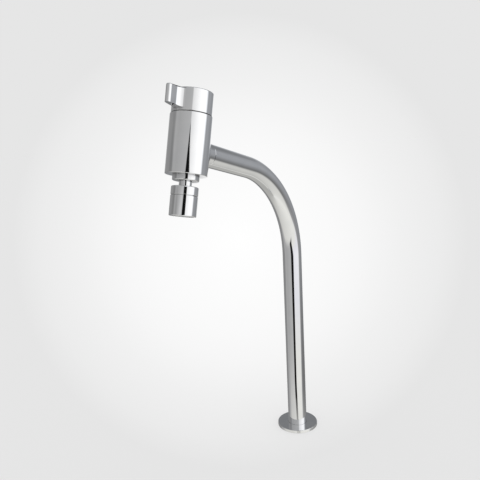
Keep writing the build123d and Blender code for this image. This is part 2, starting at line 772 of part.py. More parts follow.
grub_outer = cap_radius - grub_recess
grub_inner = adapter_radius - grub_dimple + seat_fit
with BuildPart() as grub_screw:
    with BuildSketch(arm_plan.offset(grub_inner)):
        with Locations((0, -grub_height)):
            Circle(grub_radius)
    extrude(amount=grub_outer - grub_inner)
    with BuildSketch(arm_plan.offset(grub_outer)):
        with Locations((0, -grub_height)):
            RegularPolygon(hex_key / 2, 6, major_radius=False)
    extrude(amount=-2 * hex_key_depth, mode=Mode.SUBTRACT)

# Outlet collar: threaded nut under the valve body that holds the ball stem
with BuildPart() as outlet_collar:
    with BuildSketch(valve_section):
        band(collar_bore_radius, collar_thread_radius, body_bottom, collar_top)
        band(collar_bore_radius, neck_flange_radius, collar_shelf, body_bottom)
        band(stem_radius + running_fit, neck_flange_radius, collar_bottom, collar_shelf)
    revolve(axis=valve_axis)
    fillet(outer_rim(outlet_collar.edges(), valve_axis, 0), collar_fillet)

with BuildPart() as collar_gasket:
    with BuildSketch(valve_section):
        band(collar_bore_radius, collar_thread_radius, collar_top, web_bottom)
    revolve(axis=valve_axis)

with BuildPart() as stem_washer:
    with BuildSketch(valve_section):
        inner = stem_radius + running_fit
        band(inner, collar_bore_radius - loose_fit, collar_shelf, stem_flange_bottom)
    revolve(axis=valve_axis)

# Ball stem: sealed flange in the collar, neck and ball, drilled through
with BuildPart() as ball_stem:
    with BuildSketch(valve_section):
        with Locations((0, ball_centre)):
            Circle(ball_radius)
        band(-ball_radius, 0, ball_seat_bottom, ball_centre + ball_radius, Mode.SUBTRACT)
        band(0, ball_radius, ball_seat_bottom, ball_centre - ball_flat, Mode.SUBTRACT)
        band(0, stem_radius, ball_centre, stem_flange_bottom)
        band(0, stem_flange_radius, stem_flange_bottom, stem_top)
        high = stem_groove + stem_seal_width
        band(stem_groove_radius, stem_flange_radius, stem_groove, high, Mode.SUBTRACT)
        band(0, stem_bore_radius, ball_seat_bottom, stem_top, Mode.SUBTRACT)
    revolve(axis=valve_axis)

with BuildPart() as stem_seal:
    with BuildSketch(valve_section):
        inner = stem_groove_radius + seat_fit
        round_section(inner, stem_flange_radius, stem_groove + stem_seal_width / 2)
    revolve(axis=valve_axis)

# Socket ring: upper ring of the spray head, its round inside hangs on the ball
with BuildPart() as socket_ring:
    with BuildSketch(valve_section):
        band(0, head_radius, ring_bottom, head_top)
        band(0, ring_thread_radius, ring_thread_bottom, ring_bottom)
        with Locations((0, ball_centre)):
            Circle(socket_radius, mode=Mode.SUBTRACT)
        high = ball_centre - axial_play
        band(0, ring_bore_radius, ring_thread_bottom, high, Mode.SUBTRACT)
        with BuildLine():
            Polyline(
                (0, ball_centre),
                (socket_mouth_radius, ball_centre + socket_mouth_height),
                (socket_mouth_radius + socket_mouth_flare, head_top),
                (0, head_top),
                close=True,
            )
        make_face(mode=Mode.SUBTRACT)
    revolve(axis=valve_axis)
    fillet(outer_rim(socket_ring.edges(), valve_axis, -1), head_top_fillet)
    ring_rims = socket_ring.edges().filter_by(GeomType.CIRCLE).group_by(SortBy.RADIUS)[-1]
    chamfer(ring_rims.sort_by(valve_axis)[0], head_groove_chamfer)

# Ball seat: acetal cup that the ball rests in, free to turn inside the head
with BuildPart() as ball_seat:
    with BuildSketch(valve_section):
        inner = ball_port_diameter / 2
        band(inner, ball_seat_radius, ball_seat_bottom, ball_seat_top)
        band(inner, barrel_bore_radius - loose_fit, ball_seat_bottom, seat_foot_top)
        with Locations((0, ball_centre)):
            Circle(socket_radius, mode=Mode.SUBTRACT)
    revolve(axis=valve_axis)

# Head barrel: lower shell of the spray head, with a lip under the aerator
with BuildPart() as head_barrel:
    with BuildSketch(valve_section):
        band(barrel_bore_radius, head_radius, head_bottom, ring_bottom)
        band(barrel_bore_radius - barrel_lip_width, head_radius, head_bottom, insert_bottom)
    revolve(axis=valve_axis)
    chamfer(outer_rim(head_barrel.edges(), valve_axis, -1), head_groove_chamfer)
    fillet(outer_rim(head_barrel.edges(), valve_axis, 0), head_bottom_fillet)

with BuildPart() as head_washer:
    with BuildSketch(valve_section):
        band(insert_radius - head_washer_width, insert_radius, insert_top, head_washer_top)
    revolve(axis=valve_axis)

# Aerator insert: moulded sleeve with a honeycomb outlet and air slots round it
grid_pitch = grid_cell + grid_web
grid_count = 2 * int(mixing_radius / grid_pitch) + 3
grid_cells = [
    cell
    for cell in HexLocations(grid_pitch / 2, grid_count, grid_count).local_locations
    if cell.position.length < mixing_radius - grid_cell * 0.6
]
with BuildPart() as aerator_insert:
    with BuildSketch(valve_section):
        band(0, insert_radius, insert_bottom, grid_top)
        band(mixing_radius, insert_radius, grid_top, jet_plate_bottom)
        band(insert_bore_radius, insert_radius, jet_plate_bottom, insert_top)
    revolve(axis=valve_axis)
    with BuildSketch(valve_plan.offset(insert_bottom)):
        with Locations(*grid_cells):
            RegularPolygon(grid_cell / 2, 6, major_radius=False)
    extrude(amount=grid_height, mode=Mode.SUBTRACT)
    with BuildSketch(valve_plan.offset(insert_bottom)):
        with PolarLocations(mixing_radius, air_slot_count):
            Rectangle(insert_ledge, air_slot_width)
    extrude(amount=jet_plate_bottom - air_slot_roof - insert_bottom, mode=Mode.SUBTRACT)

# Screens, jet plate and flow regulator stacked in the insert
screen_hole_rows = 2 * int(screen_radius / screen_hole_pitch) + 3
screen_holes = [
    hole
    for hole in HexLocations(
        screen_hole_pitch / 2, screen_hole_rows, screen_hole_rows
    ).local_locations
    if hole.position.length < screen_radius - screen_hole_diameter
]
with BuildPart() as aerator_screens:
    for i in range(screen_count):
        with BuildSketch(valve_plan.offset(grid_top + i * screen_thickness)):
            Circle(screen_radius)
            with Locations(*screen_holes):
                Circle(screen_hole_diameter / 2, mode=Mode.SUBTRACT)
        extrude(amount=screen_thickness)

with BuildPart() as jet_plate:
    with BuildSketch(valve_plan.offset(jet_plate_bottom)):
        Circle(plate_radius)
        for inset, count in jet_rings:
            with PolarLocations(plate_radius - inset, count):
                Circle(jet_diameter / 2, mode=Mode.SUBTRACT)
    extrude(amount=jet_plate_height)

with BuildPart() as flow_regulator:
    with BuildSketch(valve_section):
        band(0, plate_radius, jet_plate_top, jet_plate_top + regulator_base)
        band(0, regulator_hub_radius, jet_plate_top, insert_top)
    revolve(axis=valve_axis)
    with BuildSketch(valve_plan.offset(jet_plate_top)):
        with PolarLocations(plate_radius - regulator_hole_inset, regulator_hole_count):
            Circle(regulator_hole_diameter / 2)
    extrude(amount=regulator_base, mode=Mode.SUBTRACT)

with BuildPart() as regulator_ring:
    with BuildSketch(valve_section):
        inner = regulator_hub_radius + seat_fit
        middle = jet_plate_top + regulator_base + regulator_ring_section / 2
        round_section(inner, inner + regulator_ring_section, middle)
    revolve(axis=valve_axis)

# One labelled file for each piece
pieces = {
    "mounting_shank": mounting_shank,
    "base_cover": base_cover,
    "base_gasket": base_gasket,
    "clamp_gasket": clamp_gasket,
    "clamp_washer": clamp_washer,
    "backnut": backnut,
    "slip_rings": slip_rings,
    "swivel_seals": swivel_seals,
    "snap_ring": snap_ring,
    "thrust_ring": thrust_ring,
    "gooseneck_tube": gooseneck_tube,
    "swivel_bush": swivel_bush,
    "tube_nipple": tube_nipple,
    "nipple_seal": nipple_seal,
    "valve_body": valve_body,
    "cartridge_housing": cartridge_housing,
    "neck_washer": neck_washer,
    "seat_seal": seat_seal,
    "fixed_disc": fixed_disc,
    "moving_disc": moving_disc,
    "spindle": spindle,
    "spindle_seals": spindle_seals,
    "spindle_washer": spindle_washer,
    "stop_ring": stop_ring,
    "spindle_clip": spindle_clip,
    "handle_adapter": handle_adapter,
    "adapter_screw": adapter_screw,
    "handle_cap": handle_cap,
    "grub_screw": grub_screw,
    "outlet_collar": outlet_collar,
    "collar_gasket": collar_gasket,
    "stem_washer": stem_washer,
    "ball_stem": ball_stem,
    "stem_seal": stem_seal,
    "socket_ring": socket_ring,
    "ball_seat": ball_seat,
    "head_barrel": head_barrel,
    "head_washer": head_washer,
    "aerator_insert": aerator_insert,
    "aerator_screens": aerator_screens,
    "jet_plate": jet_plate,
    "flow_regulator": flow_regulator,
    "regulator_ring": regulator_ring,
}
os.makedirs("parts", exist_ok=True)
for piece_name, piece in pieces.items():
    piece.part.label = piece_name
    export_step(piece.part, f"parts/{piece_name}.step")
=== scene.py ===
import json
import bpy
import numpy as np
from mathutils import Matrix, Vector


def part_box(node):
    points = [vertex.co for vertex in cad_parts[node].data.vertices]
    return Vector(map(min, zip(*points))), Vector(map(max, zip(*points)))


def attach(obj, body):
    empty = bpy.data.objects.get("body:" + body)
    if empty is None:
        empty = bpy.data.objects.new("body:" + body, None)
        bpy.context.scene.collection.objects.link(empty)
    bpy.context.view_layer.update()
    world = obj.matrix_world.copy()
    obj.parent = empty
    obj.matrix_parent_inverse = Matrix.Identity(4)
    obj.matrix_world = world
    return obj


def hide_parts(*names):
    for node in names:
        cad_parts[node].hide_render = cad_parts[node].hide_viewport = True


# Kitchen tap: surfaces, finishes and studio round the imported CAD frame. Metres, +Z up; the spout
# reaches towards -Y. The sections follow the tap as it is put together, from the worktop up.
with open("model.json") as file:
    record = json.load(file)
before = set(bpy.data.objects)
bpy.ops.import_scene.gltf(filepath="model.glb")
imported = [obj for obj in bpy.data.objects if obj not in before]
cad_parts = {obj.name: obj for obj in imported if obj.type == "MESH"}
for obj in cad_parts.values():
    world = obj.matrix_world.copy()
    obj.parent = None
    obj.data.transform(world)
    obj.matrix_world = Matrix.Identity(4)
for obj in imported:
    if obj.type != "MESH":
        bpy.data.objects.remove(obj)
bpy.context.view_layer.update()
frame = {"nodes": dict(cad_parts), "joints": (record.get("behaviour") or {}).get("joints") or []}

# Mounting shank
# The brass casting that the tap stands on: a clamped foot, a threaded tail that passes through the
# worktop, and a spigot on which the spout turns. Turned all over and left unplated.
mm = 0.001
foot_origin = (0.0, 0.0, 0.0)
upright = (0.0, 0.0, 1.0)
sideways = (1.0, 0.0, 0.0)
column_line = (foot_origin, upright)
shank_foot_radius = 22.9 * mm
shank_foot_height = 2.6 * mm
shank_thread_radius = 10.4775 * mm
shank_bore = 5.0 * mm
shank_chamfer = 1.0 * mm
shank_length = 55.0 * mm
spigot_radius = 7.8 * mm
spigot_height = 34.3 * mm
spigot_chamfer = 0.5 * mm
gasket_groove = (17.5 * mm, 20.5 * mm)
gasket_groove_depth = 1.6 * mm
slip_groove_depth = 0.8 * mm
seal_groove_depth = 1.6 * mm
spigot_grooves = [
    (5.8 * mm, 9.8 * mm, slip_groove_depth),
    (12.4 * mm, 14.8 * mm, seal_groove_depth),
    (17.4 * mm, 19.8 * mm, seal_groove_depth),
    (22.4 * mm, 26.4 * mm, slip_groove_depth),
    (29.0 * mm, 30.7 * mm, slip_groove_depth),
]
thread_pitch = 1.814 * mm
thread_depth = 1.162 * mm
thread_top = -1.0 * mm
fine_edge = 0.1 * mm
small_edge = 0.2 * mm
soft_edge = 0.3 * mm


def span_of(node, line):
    """Lowest and highest place of a CAD node along a line, and its greatest distance from it.

    A line is an origin and an axis. A point's place is the dot product of its offset from the
    origin with the axis; its distance is the length of what is left of that offset.
    """
    origin, axis = line
    mesh = frame["nodes"][node].data
    points = np.zeros(len(mesh.vertices) * 3)
    mesh.vertices.foreach_get("co", points)
    offset = points.reshape(-1, 3) - np.array(origin)
    place = offset @ np.array(axis)
    distance = np.linalg.norm(offset - np.outer(place, axis), axis=1)
    return place.min(), place.max(), distance.max()


def arc_angles(start, end, step):
    """Evenly spaced angles from start to end, no further apart than a step."""
    return np.linspace(start, end, max(1, int(np.ceil(abs(end - start) / step))) + 1)


def rays(angles):
    """Unit vectors (cos a, sin a) in a plane."""
    return np.stack([np.cos(angles), np.sin(angles)], axis=1)


def rounded_outline(corners, kept=slice(None), arc_step=0.12):
    """Points and outward normals round a closed outline of (radius, height, rounding) corners.

    The loop keeps the metal on its left. Each corner is a circular arc tangent to both sides: it
    starts rounding * tan(turn / 2) before the corner, and its direction turns evenly from one side
    to the next. The normal is the direction turned a quarter to the right. Only the kept corners
    are given back, so that a run of the outline can be drawn by itself.
    """
    corners = np.array(corners, float)
    places = corners[:, :2]
    before = places - np.roll(places, 1, axis=0)
    before /= np.linalg.norm(before, axis=1)[:, None]
    after = np.roll(before, -1, axis=0)
    start_angle = np.arctan2(before[:, 1], before[:, 0])
    crossed = before[:, 0] * after[:, 1] - before[:, 1] * after[:, 0]
    turn = np.arctan2(crossed, (before * after).sum(axis=1))
    points = []
    normals = []
    runs = list(zip(places, before, start_angle, turn, corners[:, 2]))
    for place, way, start, bend, rounding in runs[kept]:
        right = rays(arc_angles(start, start + bend, arc_step) - np.pi / 2)
        entry = place - way * rounding * np.tan(abs(bend) / 2)
        side = np.sign(bend) * rounding
        points.append(entry + side * (right - right[0]))
        normals.append(right)
    return np.concatenate(points), np.concatenate(normals)


def spokes(axis, side, angle):
    """Unit vectors round an axis: cos(angle) * side + sin(angle) * (axis x side)."""
    return np.cos(angle) * np.array(side) + np.sin(angle) * np.cross(axis, side)


def full_circle(segments):
    """Evenly spaced angles once round."""
    return np.linspace(0, 2 * np.pi, segments, endpoint=False)


def turned(outline, line, angles, closed=True):
    """An outline turned about a line: points and normals for one patch.

    A point at angle a is origin + radius * spoke(a) + height * axis, and its normal leans the same
    way.
    """
    outline_points, outline_normals = outline
    origin, axis = line
    spoke = spokes(axis, sideways, angles[:, None, None])
    lift = np.array(axis)
    points = np.array(origin) + spoke * outline_points[:, :1] + lift * outline_points[:, 1:]
    normals = spoke * outline_normals[:, :1] + lift * outline_normals[:, 1:]
    return {"points": points, "normals": normals, "wrap": (True, closed)}


def threaded(crest, low, high, angles, rows_a_pitch=10, faded_pitches=0.75):
    """A round wall about +Z with a right-hand thread cut in it.

    The depth at angle a and height z follows a cosine in z / pitch - a / turn, and fades out over
    some pitches at both ends. The normal leans by the slopes of that depth.
    """
    rows = int((high - low) / thread_pitch * rows_a_pitch)
    height = np.linspace(low, high, rows)[None, :]
    angle = angles[:, None]
    phase = 2 * np.pi * height / thread_pitch - angle
    reach = faded_pitches * thread_pitch
    fade = np.clip((height - low) / reach, 0, 1) * np.clip((high - height) / reach, 0, 1)
    radius = crest - thread_depth * fade * (0.5 - 0.5 * np.cos(phase))
    slope_up = -thread_depth * fade * 0.5 * np.sin(phase) * 2 * np.pi / thread_pitch
    slope_round = thread_depth * fade * 0.5 * np.sin(phase) / radius
    spoke = spokes(upright, sideways, angle[..., None])
    tangent = spokes(upright, sideways, angle[..., None] + np.pi / 2)
    lift = np.array(upright)
    points = radius[..., None] * spoke + height[..., None] * lift
    normals = spoke - slope_round[..., None] * tangent - slope_up[..., None] * lift
    return {"points": points, "normals": normals, "wrap": (True, False)}


def surface_piece(name, patches, body, nodes, material):
    """One closed piece from patches of points on grids, each with its own normals.

    A grid of rows and columns gives a quad between every four neighbours, and wraps round where
    the patch says so. Points that patches share are merged, quads that lose a side to the merging
    become triangles, and every corner keeps its own patch's normal, so edges stay crisp.
    """
    same_point = 1e-7
    corner_points = []
    corner_normals = []
    for patch in patches:
        wrap_rows, wrap_columns = patch["wrap"]
        for grid, store in ((patch["points"], corner_points), (patch["normals"], corner_normals)):
            grid = np.concatenate([grid, grid[:1]], axis=0) if wrap_rows else grid
            grid = np.concatenate([grid, grid[:, :1]], axis=1) if wrap_columns else grid
            quads = np.stack([grid[:-1, :-1], grid[1:, :-1], grid[1:, 1:], grid[:-1, 1:]], axis=2)
            store.append(quads.reshape(-1, 4, 3))
    corner_points = np.concatenate(corner_points)
    corner_normals = np.concatenate(corner_normals)
    keys = np.round(corner_points.reshape(-1, 3) / same_point).astype(np.int64)
    first, index = np.unique(keys, axis=0, return_index=True, return_inverse=True)[1:]
    index = index.reshape(-1, 4)
    kept = index != np.roll(index, -1, axis=1)
    whole = kept.sum(axis=1) >= 3
    faces = [corners[keep].tolist() for corners, keep in zip(index[whole], kept[whole])]
    normals = corner_normals[whole][kept[whole]]
    normals /= np.linalg.norm(normals, axis=1)[:, None]
    mesh = bpy.data.meshes.new(name)
    mesh.from_pydata(corner_points.reshape(-1, 3)[first].tolist(), [], faces)
    mesh.shade_smooth()
    mesh.normals_split_custom_set(normals.tolist())
    mesh.materials.append(material)
    piece = bpy.data.objects.new(name, mesh)
    bpy.context.scene.collection.objects.link(piece)
    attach(piece, body)
    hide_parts(*nodes)


def node_in(tree, kind, inputs=None, **settings):
    """A shader node with its settings, and its inputs joined to sockets or set to values."""
    node = tree.nodes.new(kind)
    for setting, value in settings.items():
        setattr(node, setting, value)
    for key, value in (inputs or {}).items():
        if isinstance(value, bpy.types.NodeSocket):
            tree.links.new(value, node.inputs[key])
        else:
            node.inputs[key].default_value = value
    return node


def maths(tree, operation, first, second=0.0):
    """The result of one sum on two numbers or sockets."""
    return node_in(tree, "ShaderNodeMath", {0: first, 1: second}, operation=operation).outputs[0]


def vector_maths(tree, operation, first, second=(0.0, 0.0, 0.0)):
    """The result of one sum on two vectors or sockets."""
    sums = node_in(tree, "ShaderNodeVectorMath", {0: first, 1: second}, operation=operation)
    return sums.outputs["Value" if operation == "DOT_PRODUCT" else "Vector"]


def remap(tree, value, low, high, to_low=0.0, to_high=1.0, blend="LINEAR"):
    """A value carried from one range to another and held at its ends."""
    return node_in(
        tree,
        "ShaderNodeMapRange",
        {"Value": value, "From Min": low, "From Max": high, "To Min": to_low, "To Max": to_high},
        interpolation_type=blend,
    ).outputs["Result"]


def stretched(tree, noise, low=0.0, high=1.0, middle=(0.3, 0.7)):
    """The middle part of a noise stretched over a range and held at its ends."""
    return remap(tree, noise, *middle, low, high)


def mixed(tree, factor, first, second, blend="MIX"):
    """Two colours mixed, or blended in another way, by a factor."""
    return node_in(
        tree,
        "ShaderNodeMix",
        {"Factor": factor, "A": first, "B": second},
        data_type="RGBA",
        blend_type=blend,
    ).outputs["Result"]


def cloudy(tree, vector, size, detail=4.0):
    """Noise whose patches are about one size across."""
    return node_in(
        tree, "ShaderNodeTexNoise", {"Vector": vector, "Scale": 1 / size, "Detail": detail}
    ).outputs["Fac"]


def relief(tree, height, depth, under=None):
    """A surface raised and sunk by a pattern, over another relief if one is given."""
    inputs = {"Height": height, "Strength": 1.0, "Distance": depth}
    if under is not None:
        inputs["Normal"] = under
    return node_in(tree, "ShaderNodeBump", inputs).outputs["Normal"]


def new_finish(name, origin):
    """A material's node tree, its shader, and each point's offset from an origin on the piece."""
    material = bpy.data.materials.new(name)
    material.use_nodes = True
    tree = material.node_tree
    place = node_in(tree, "ShaderNodeTexCoord").outputs["Object"]
    offset = vector_maths(tree, "SUBTRACT", place, tuple(origin))
    return material, tree, tree.nodes["Principled BSDF"], offset


def join_up(tree, shader, colour, roughness, normal=None):
    """Gives a shader its colour, its roughness and, where there is one, its relief."""
    tree.links.new(colour, shader.inputs["Base Color"])
    tree.links.new(roughness, shader.inputs["Roughness"])
    if normal is not None:
        tree.links.new(normal, shader.inputs["Normal"])


def turning_lines(tree, offset, axis, pitch, detail=3.0):
    """Fine noise that changes only along an axis, as the marks of a lathe tool do."""
    height = vector_maths(tree, "DOT_PRODUCT", offset, tuple(axis))
    return node_in(
        tree,
        "ShaderNodeTexNoise",
        {"W": maths(tree, "MULTIPLY", height, 1 / pitch), "Scale": 1.0, "Detail": detail},
        noise_dimensions="1D",
    ).outputs["Fac"]


def turned_metal(name, line, dark, light, roughness):
    """Metal straight from the lathe: tool marks round a line and a slow change of tone."""
    origin, axis = line
    material, tree, shader, offset = new_finish(name, origin)
    lines = turning_lines(tree, offset, axis, pitch=0.4 * mm)
    tarnish = cloudy(tree, offset, 9 * mm)
    tone = mixed(tree, stretched(tree, tarnish, middle=(0.35, 0.65)), dark, light)
    streaked = mixed(tree, stretched(tree, lines, high=0.35), tone, dark)
    rough = stretched(tree, lines, *roughness)
    join_up(tree, shader, streaked, rough, relief(tree, lines, depth=0.01 * mm))
    shader.inputs["Metallic"].default_value = 1.0
    return material


def brass(name, line):
    """Turned brass, a little browned here and there."""
    brown = (0.6, 0.45, 0.22, 1.0)
    yellow = (0.78, 0.63, 0.34, 1.0)
    return turned_metal(name, line, brown, yellow, roughness=(0.2, 0.36))


def groove_corners(outer, floor, low, high):
    """Corners of a square groove in a round wall."""
    return [(outer, low, 0), (floor, low, 0), (floor, high, 0), (outer, high, 0)]


shank_angles = full_circle(segments=48)
spigot_corners = []
for groove_low, groove_high, depth in spigot_grooves:
    floor_radius = spigot_radius - depth
    spigot_corners += groove_corners(spigot_radius, floor_radius, groove_low, groove_high)
shank_corners = [
    (shank_thread_radius, thread_top, 0),
    (shank_thread_radius, 0, 0),
    (gasket_groove[0], 0, 0),
    (gasket_groove[0], gasket_groove_depth, 0),
    (gasket_groove[1], gasket_groove_depth, 0),
    (gasket_groove[1], 0, 0),
    (shank_foot_radius, 0, fine_edge),
    (shank_foot_radius, shank_foot_height, soft_edge),
    (spigot_radius, shank_foot_height, 0),
    *spigot_corners,
    (spigot_radius, spigot_height - spigot_chamfer, 0),
    (spigot_radius - spigot_chamfer, spigot_height, 0),
    (shank_bore, spigot_height, 0),
    (shank_bore, -shank_length, 0),
    (shank_thread_radius - shank_chamfer, -shank_length, 0),
    (shank_thread_radius, -shank_length + shank_chamfer, 0),
]
surface_piece(
    "shank",
    [
        turned(rounded_outline(shank_corners), column_line, shank_angles, closed=False),
        threaded(shank_thread_radius, -shank_length + shank_chamfer, thread_top, shank_angles),
    ],
    "base",
    ["mounting_shank"],
    brass("shank_brass", column_line),
)

# Gaskets, washer and backnut
# The rubber ring under the foot and the rubber, steel and brass stack that draws the shank down
# from under the worktop. The nut is a plain hexagon cut from bar.


def dress(material, *names):
    """Give CAD nodes one finish."""
    for name in names:
        mesh = frame["nodes"][name].data
        mesh.materials.clear()
        mesh.materials.append(material)


def rubber(name, origin):
    """Black moulded rubber: dull, faintly mottled, with the grain of the mould."""
    material, tree, shader, offset = new_finish(name, origin)
    bloom = cloudy(tree, offset, 5 * mm)
    grain = cloudy(tree, offset, 0.25 * mm, detail=2.0)
    black = (0.025, 0.025, 0.027, 1.0)
    dusty = (0.075, 0.074, 0.072, 1.0)
    tone = mixed(tree, stretched(tree, bloom, middle=(0.35, 0.7)), black, dusty)
    rough = stretched(tree, bloom, 0.5, 0.72)
    join_up(tree, shader, tone, rough, relief(tree, grain, depth=0.02 * mm))
    return material


def steel(name, line):
    """Plain stainless steel with the marks of its turning or drawing."""
    dull = (0.5, 0.51, 0.53, 1.0)
    clean = (0.68, 0.69, 0.71, 1.0)
    return turned_metal(name, line, dull, clean, roughness=(0.24, 0.4))


dress(rubber("gasket_rubber", foot_origin), "base_gasket", "clamp_gasket")
dress(steel("washer_steel", column_line), "clamp_washer")
dress(brass("backnut_brass", column_line), "backnut")

# Swivel rings and seals
# Two acetal slip rings carry the spout on the spigot, two rubber seals between them hold the
# water, a steel snap ring keeps the spout down and an acetal ring takes its weight.


def acetal(name, line):
    """Machined acetal: off-white, faintly waxy, with fine tool marks."""
    origin, axis = line
    material, tree, shader, offset = new_finish(name, origin)
    lines = turning_lines(tree, offset, axis, pitch=0.3 * mm)
    patches = cloudy(tree, offset, 6 * mm)
    waxy = (0.84, 0.84, 0.8, 1.0)
    white = (0.9, 0.9, 0.87, 1.0)
    tone = mixed(tree, stretched(tree, patches, middle=(0.35, 0.65)), waxy, white)
    rough = stretched(tree, lines, 0.3, 0.45)
    join_up(tree, shader, tone, rough, relief(tree, lines, depth=0.008 * mm))
    return material


dress(acetal("slip_acetal", column_line), "slip_rings", "thrust_ring")
dress(rubber("swivel_rubber", foot_origin), "swivel_seals")
dress(steel("snap_ring_steel", column_line), "snap_ring")

# Base cover
# A thin disc round the foot of the column, turned from brass and chromed to a mirror. It drops
# over the clamped foot and hides the hole in the worktop; only its rim and top show.
cover_edge = 0.4 * mm
cover_inner_edge = 0.15 * mm
cover_wall = 1.0 * mm
cover_bore_gap = 0.1 * mm


def chrome(name, line, shade_reach=1.0 * mm):
    """Bright chrome plate over polished brass.

    An even mirror with three faint things in it: the slow waviness that hand polishing leaves, fine
    polishing marks square to a line, and a thin haze that widens the reflection here and there. Its
    colour also carries painted shade: it is darkened where other surfaces close it in, in seams,
    crevices and corners, out to the reach given.
    """
    origin, axis = line
    material, tree, shader, offset = new_finish(name, origin)
    haze = cloudy(tree, offset, 11 * mm, detail=5.0)
    clouded = (0.865, 0.87, 0.88, 1.0)
    bright = (0.905, 0.905, 0.91, 1.0)
    painted_shade_tone = (0.2, 0.195, 0.19, 1.0)
    plate = mixed(tree, stretched(tree, haze, middle=(0.35, 0.7)), clouded, bright)
    # Painted shade: the plate's colour is darkened where nearby surfaces close it in, out to the
    # reach given.
    openness = node_in(
        tree, "ShaderNodeAmbientOcclusion", {"Distance": shade_reach}, samples=6
    ).outputs["AO"]
    shaded_plate = mixed(tree, remap(tree, openness, low=0.15, high=0.75), painted_shade_tone, plate)
    waves = cloudy(tree, offset, 22 * mm, detail=1.0)
    waviness = relief(tree, waves, depth=0.03 * mm)
    lines = turning_lines(tree, offset, axis, pitch=0.35 * mm)
    polished = relief(tree, lines, depth=0.0003 * mm, under=waviness)
    rough = stretched(tree, haze, 0.02, 0.07, middle=(0.45, 0.8))
    join_up(tree, shader, shaded_plate, rough, polished)
    shader.inputs["Metallic"].default_value = 1.0
    return material


cover_low, cover_high, cover_radius = span_of("base_cover", column_line)
tube_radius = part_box("gooseneck_tube")[1].x
cover_bore = tube_radius + cover_bore_gap
cover_inside = cover_radius - cover_wall
cover_ceiling = cover_high - cover_wall
cover_outline = rounded_outline(
    [
        (cover_inside, cover_low, cover_inner_edge),
        (cover_radius, cover_low, cover_inner_edge),
        (cover_radius, cover_high, cover_edge),
        (cover_bore, cover_high, cover_inner_edge),
        (cover_bore, cover_ceiling, cover_inner_edge),
        (cover_inside, cover_ceiling, cover_inner_edge),
    ]
)
surface_piece(
    "cover_disc",
    [turned(cover_outline, column_line, full_circle(segments=256))],
    "base",
    ["base_cover"],
    chrome("cover_chrome", column_line, shade_reach=0.3 * mm),
)

# Gooseneck tube
# One drawn brass tube, 22.2 mm across, bent on a mandrel and polished along its length before
# plating. Its foot turns on the shank, its far end butts on the valve's boss at a fine seam.
column_top = 216.2 * mm
bend_radius = 110.3 * mm
bend_angle = np.radians(76.56)
tube_wall = 1.2 * mm
tube_end_chamfer = 0.25 * mm
tube_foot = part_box("gooseneck_tube")[0].z
handle_joint = next(joint for joint in frame["joints"] if joint["name"] == "handle_turn")
valve_origin = np.array(handle_joint["pos_m"])
valve_up = np.array(handle_joint["axis"])
arm_outward = np.array([0.0, -np.sin(bend_angle), np.cos(bend_angle)])
arm_inward = -arm_outward
valve_line = (valve_origin, valve_up)
arm_line = (valve_origin, arm_inward)
tube_end = span_of("gooseneck_tube", arm_line)[0]
tube_angles = full_circle(segments=144)


def tube_path(stations_straight, stations_bend):
    """Centre line of the spout: straight up, a circular bend, then straight out to the boss.

    On the bend, at angle a, the centre is the bend's centre plus its radius times (0, cos a,
    sin a), and the tube runs towards (0, -sin a, cos a). Returns centres and directions.
    """
    bend_centre = np.array([0.0, -bend_radius, column_top])
    rise = np.linspace(tube_foot, column_top, stations_straight, endpoint=False)
    column = np.stack([0 * rise, 0 * rise, rise], axis=1)
    angle = np.linspace(0, bend_angle, stations_bend)
    bend = bend_centre + bend_radius * np.stack([0 * angle, np.cos(angle), np.sin(angle)], axis=1)
    bend_ways = np.stack([0 * angle, -np.sin(angle), np.cos(angle)], axis=1)
    arm_length = (valve_origin - bend[-1]) @ arm_outward - tube_end
    arm = bend[-1] + np.linspace(0, arm_length, stations_straight + 1)[1:, None] * arm_outward
    ways = [np.tile(upright, (len(column), 1)), bend_ways, np.tile(arm_outward, (len(arm), 1))]
    return np.concatenate([column, bend, arm]), np.concatenate(ways)


def pipe(centres, ways, radius, outward):
    """A round wall along a line: centre + radius * spoke at each station.

    The first spoke is square to the line's plane, so rings never twist. outward is 1 for the
    outside and -1 for a bore, whose rings run the other way round.
    """
    spoke = spokes(ways, sideways, outward * tube_angles[:, None, None])
    return {"points": centres + radius * spoke, "normals": outward * spoke, "wrap": (True, False)}


centres, ways = tube_path(stations_straight=24, stations_bend=90)
outer_centres = centres.copy()
outer_centres[-1] -= ways[-1] * tube_end_chamfer
bore_radius = tube_radius - tube_wall
tube_base = [
    (bore_radius, 0, 0),
    (tube_radius, 0, 0),
    (tube_radius, tube_radius, 0),
    (bore_radius, tube_radius, 0),
]
tube_tip = [
    (tube_radius, -tube_end_chamfer, 0),
    (tube_radius - tube_end_chamfer, 0, 0),
    (bore_radius, 0, 0),
    (bore_radius, -tube_radius, 0),
    (tube_radius, -tube_radius, 0),
]
base_ring = rounded_outline(tube_base, slice(0, 2))
tip_ring = rounded_outline(tube_tip, slice(0, 3))
surface_piece(
    "spout_tube",
    [
        pipe(outer_centres, ways, tube_radius, outward=1),
        pipe(centres, ways, bore_radius, outward=-1),
        turned(base_ring, (centres[0], upright), tube_angles, closed=False),
        turned(tip_ring, (centres[-1], arm_outward), tube_angles, closed=False),
    ],
    "spout",
    ["gooseneck_tube"],
    chrome("tube_chrome", (foot_origin, sideways), shade_reach=0.4 * mm),
)

# Bush, nipple and its seal
# The brass bush brazed into the column's foot runs on the slip rings; the brass nipple brazed
# into the arm's end screws into the valve, and a rubber ring seals the two.
arm_end = tuple(centres[-1])
dress(brass("bush_brass", column_line), "swivel_bush")
dress(brass("nipple_brass", (arm_end, arm_outward)), "tube_nipple")
dress(rubber("nipple_rubber", arm_end), "nipple_seal")

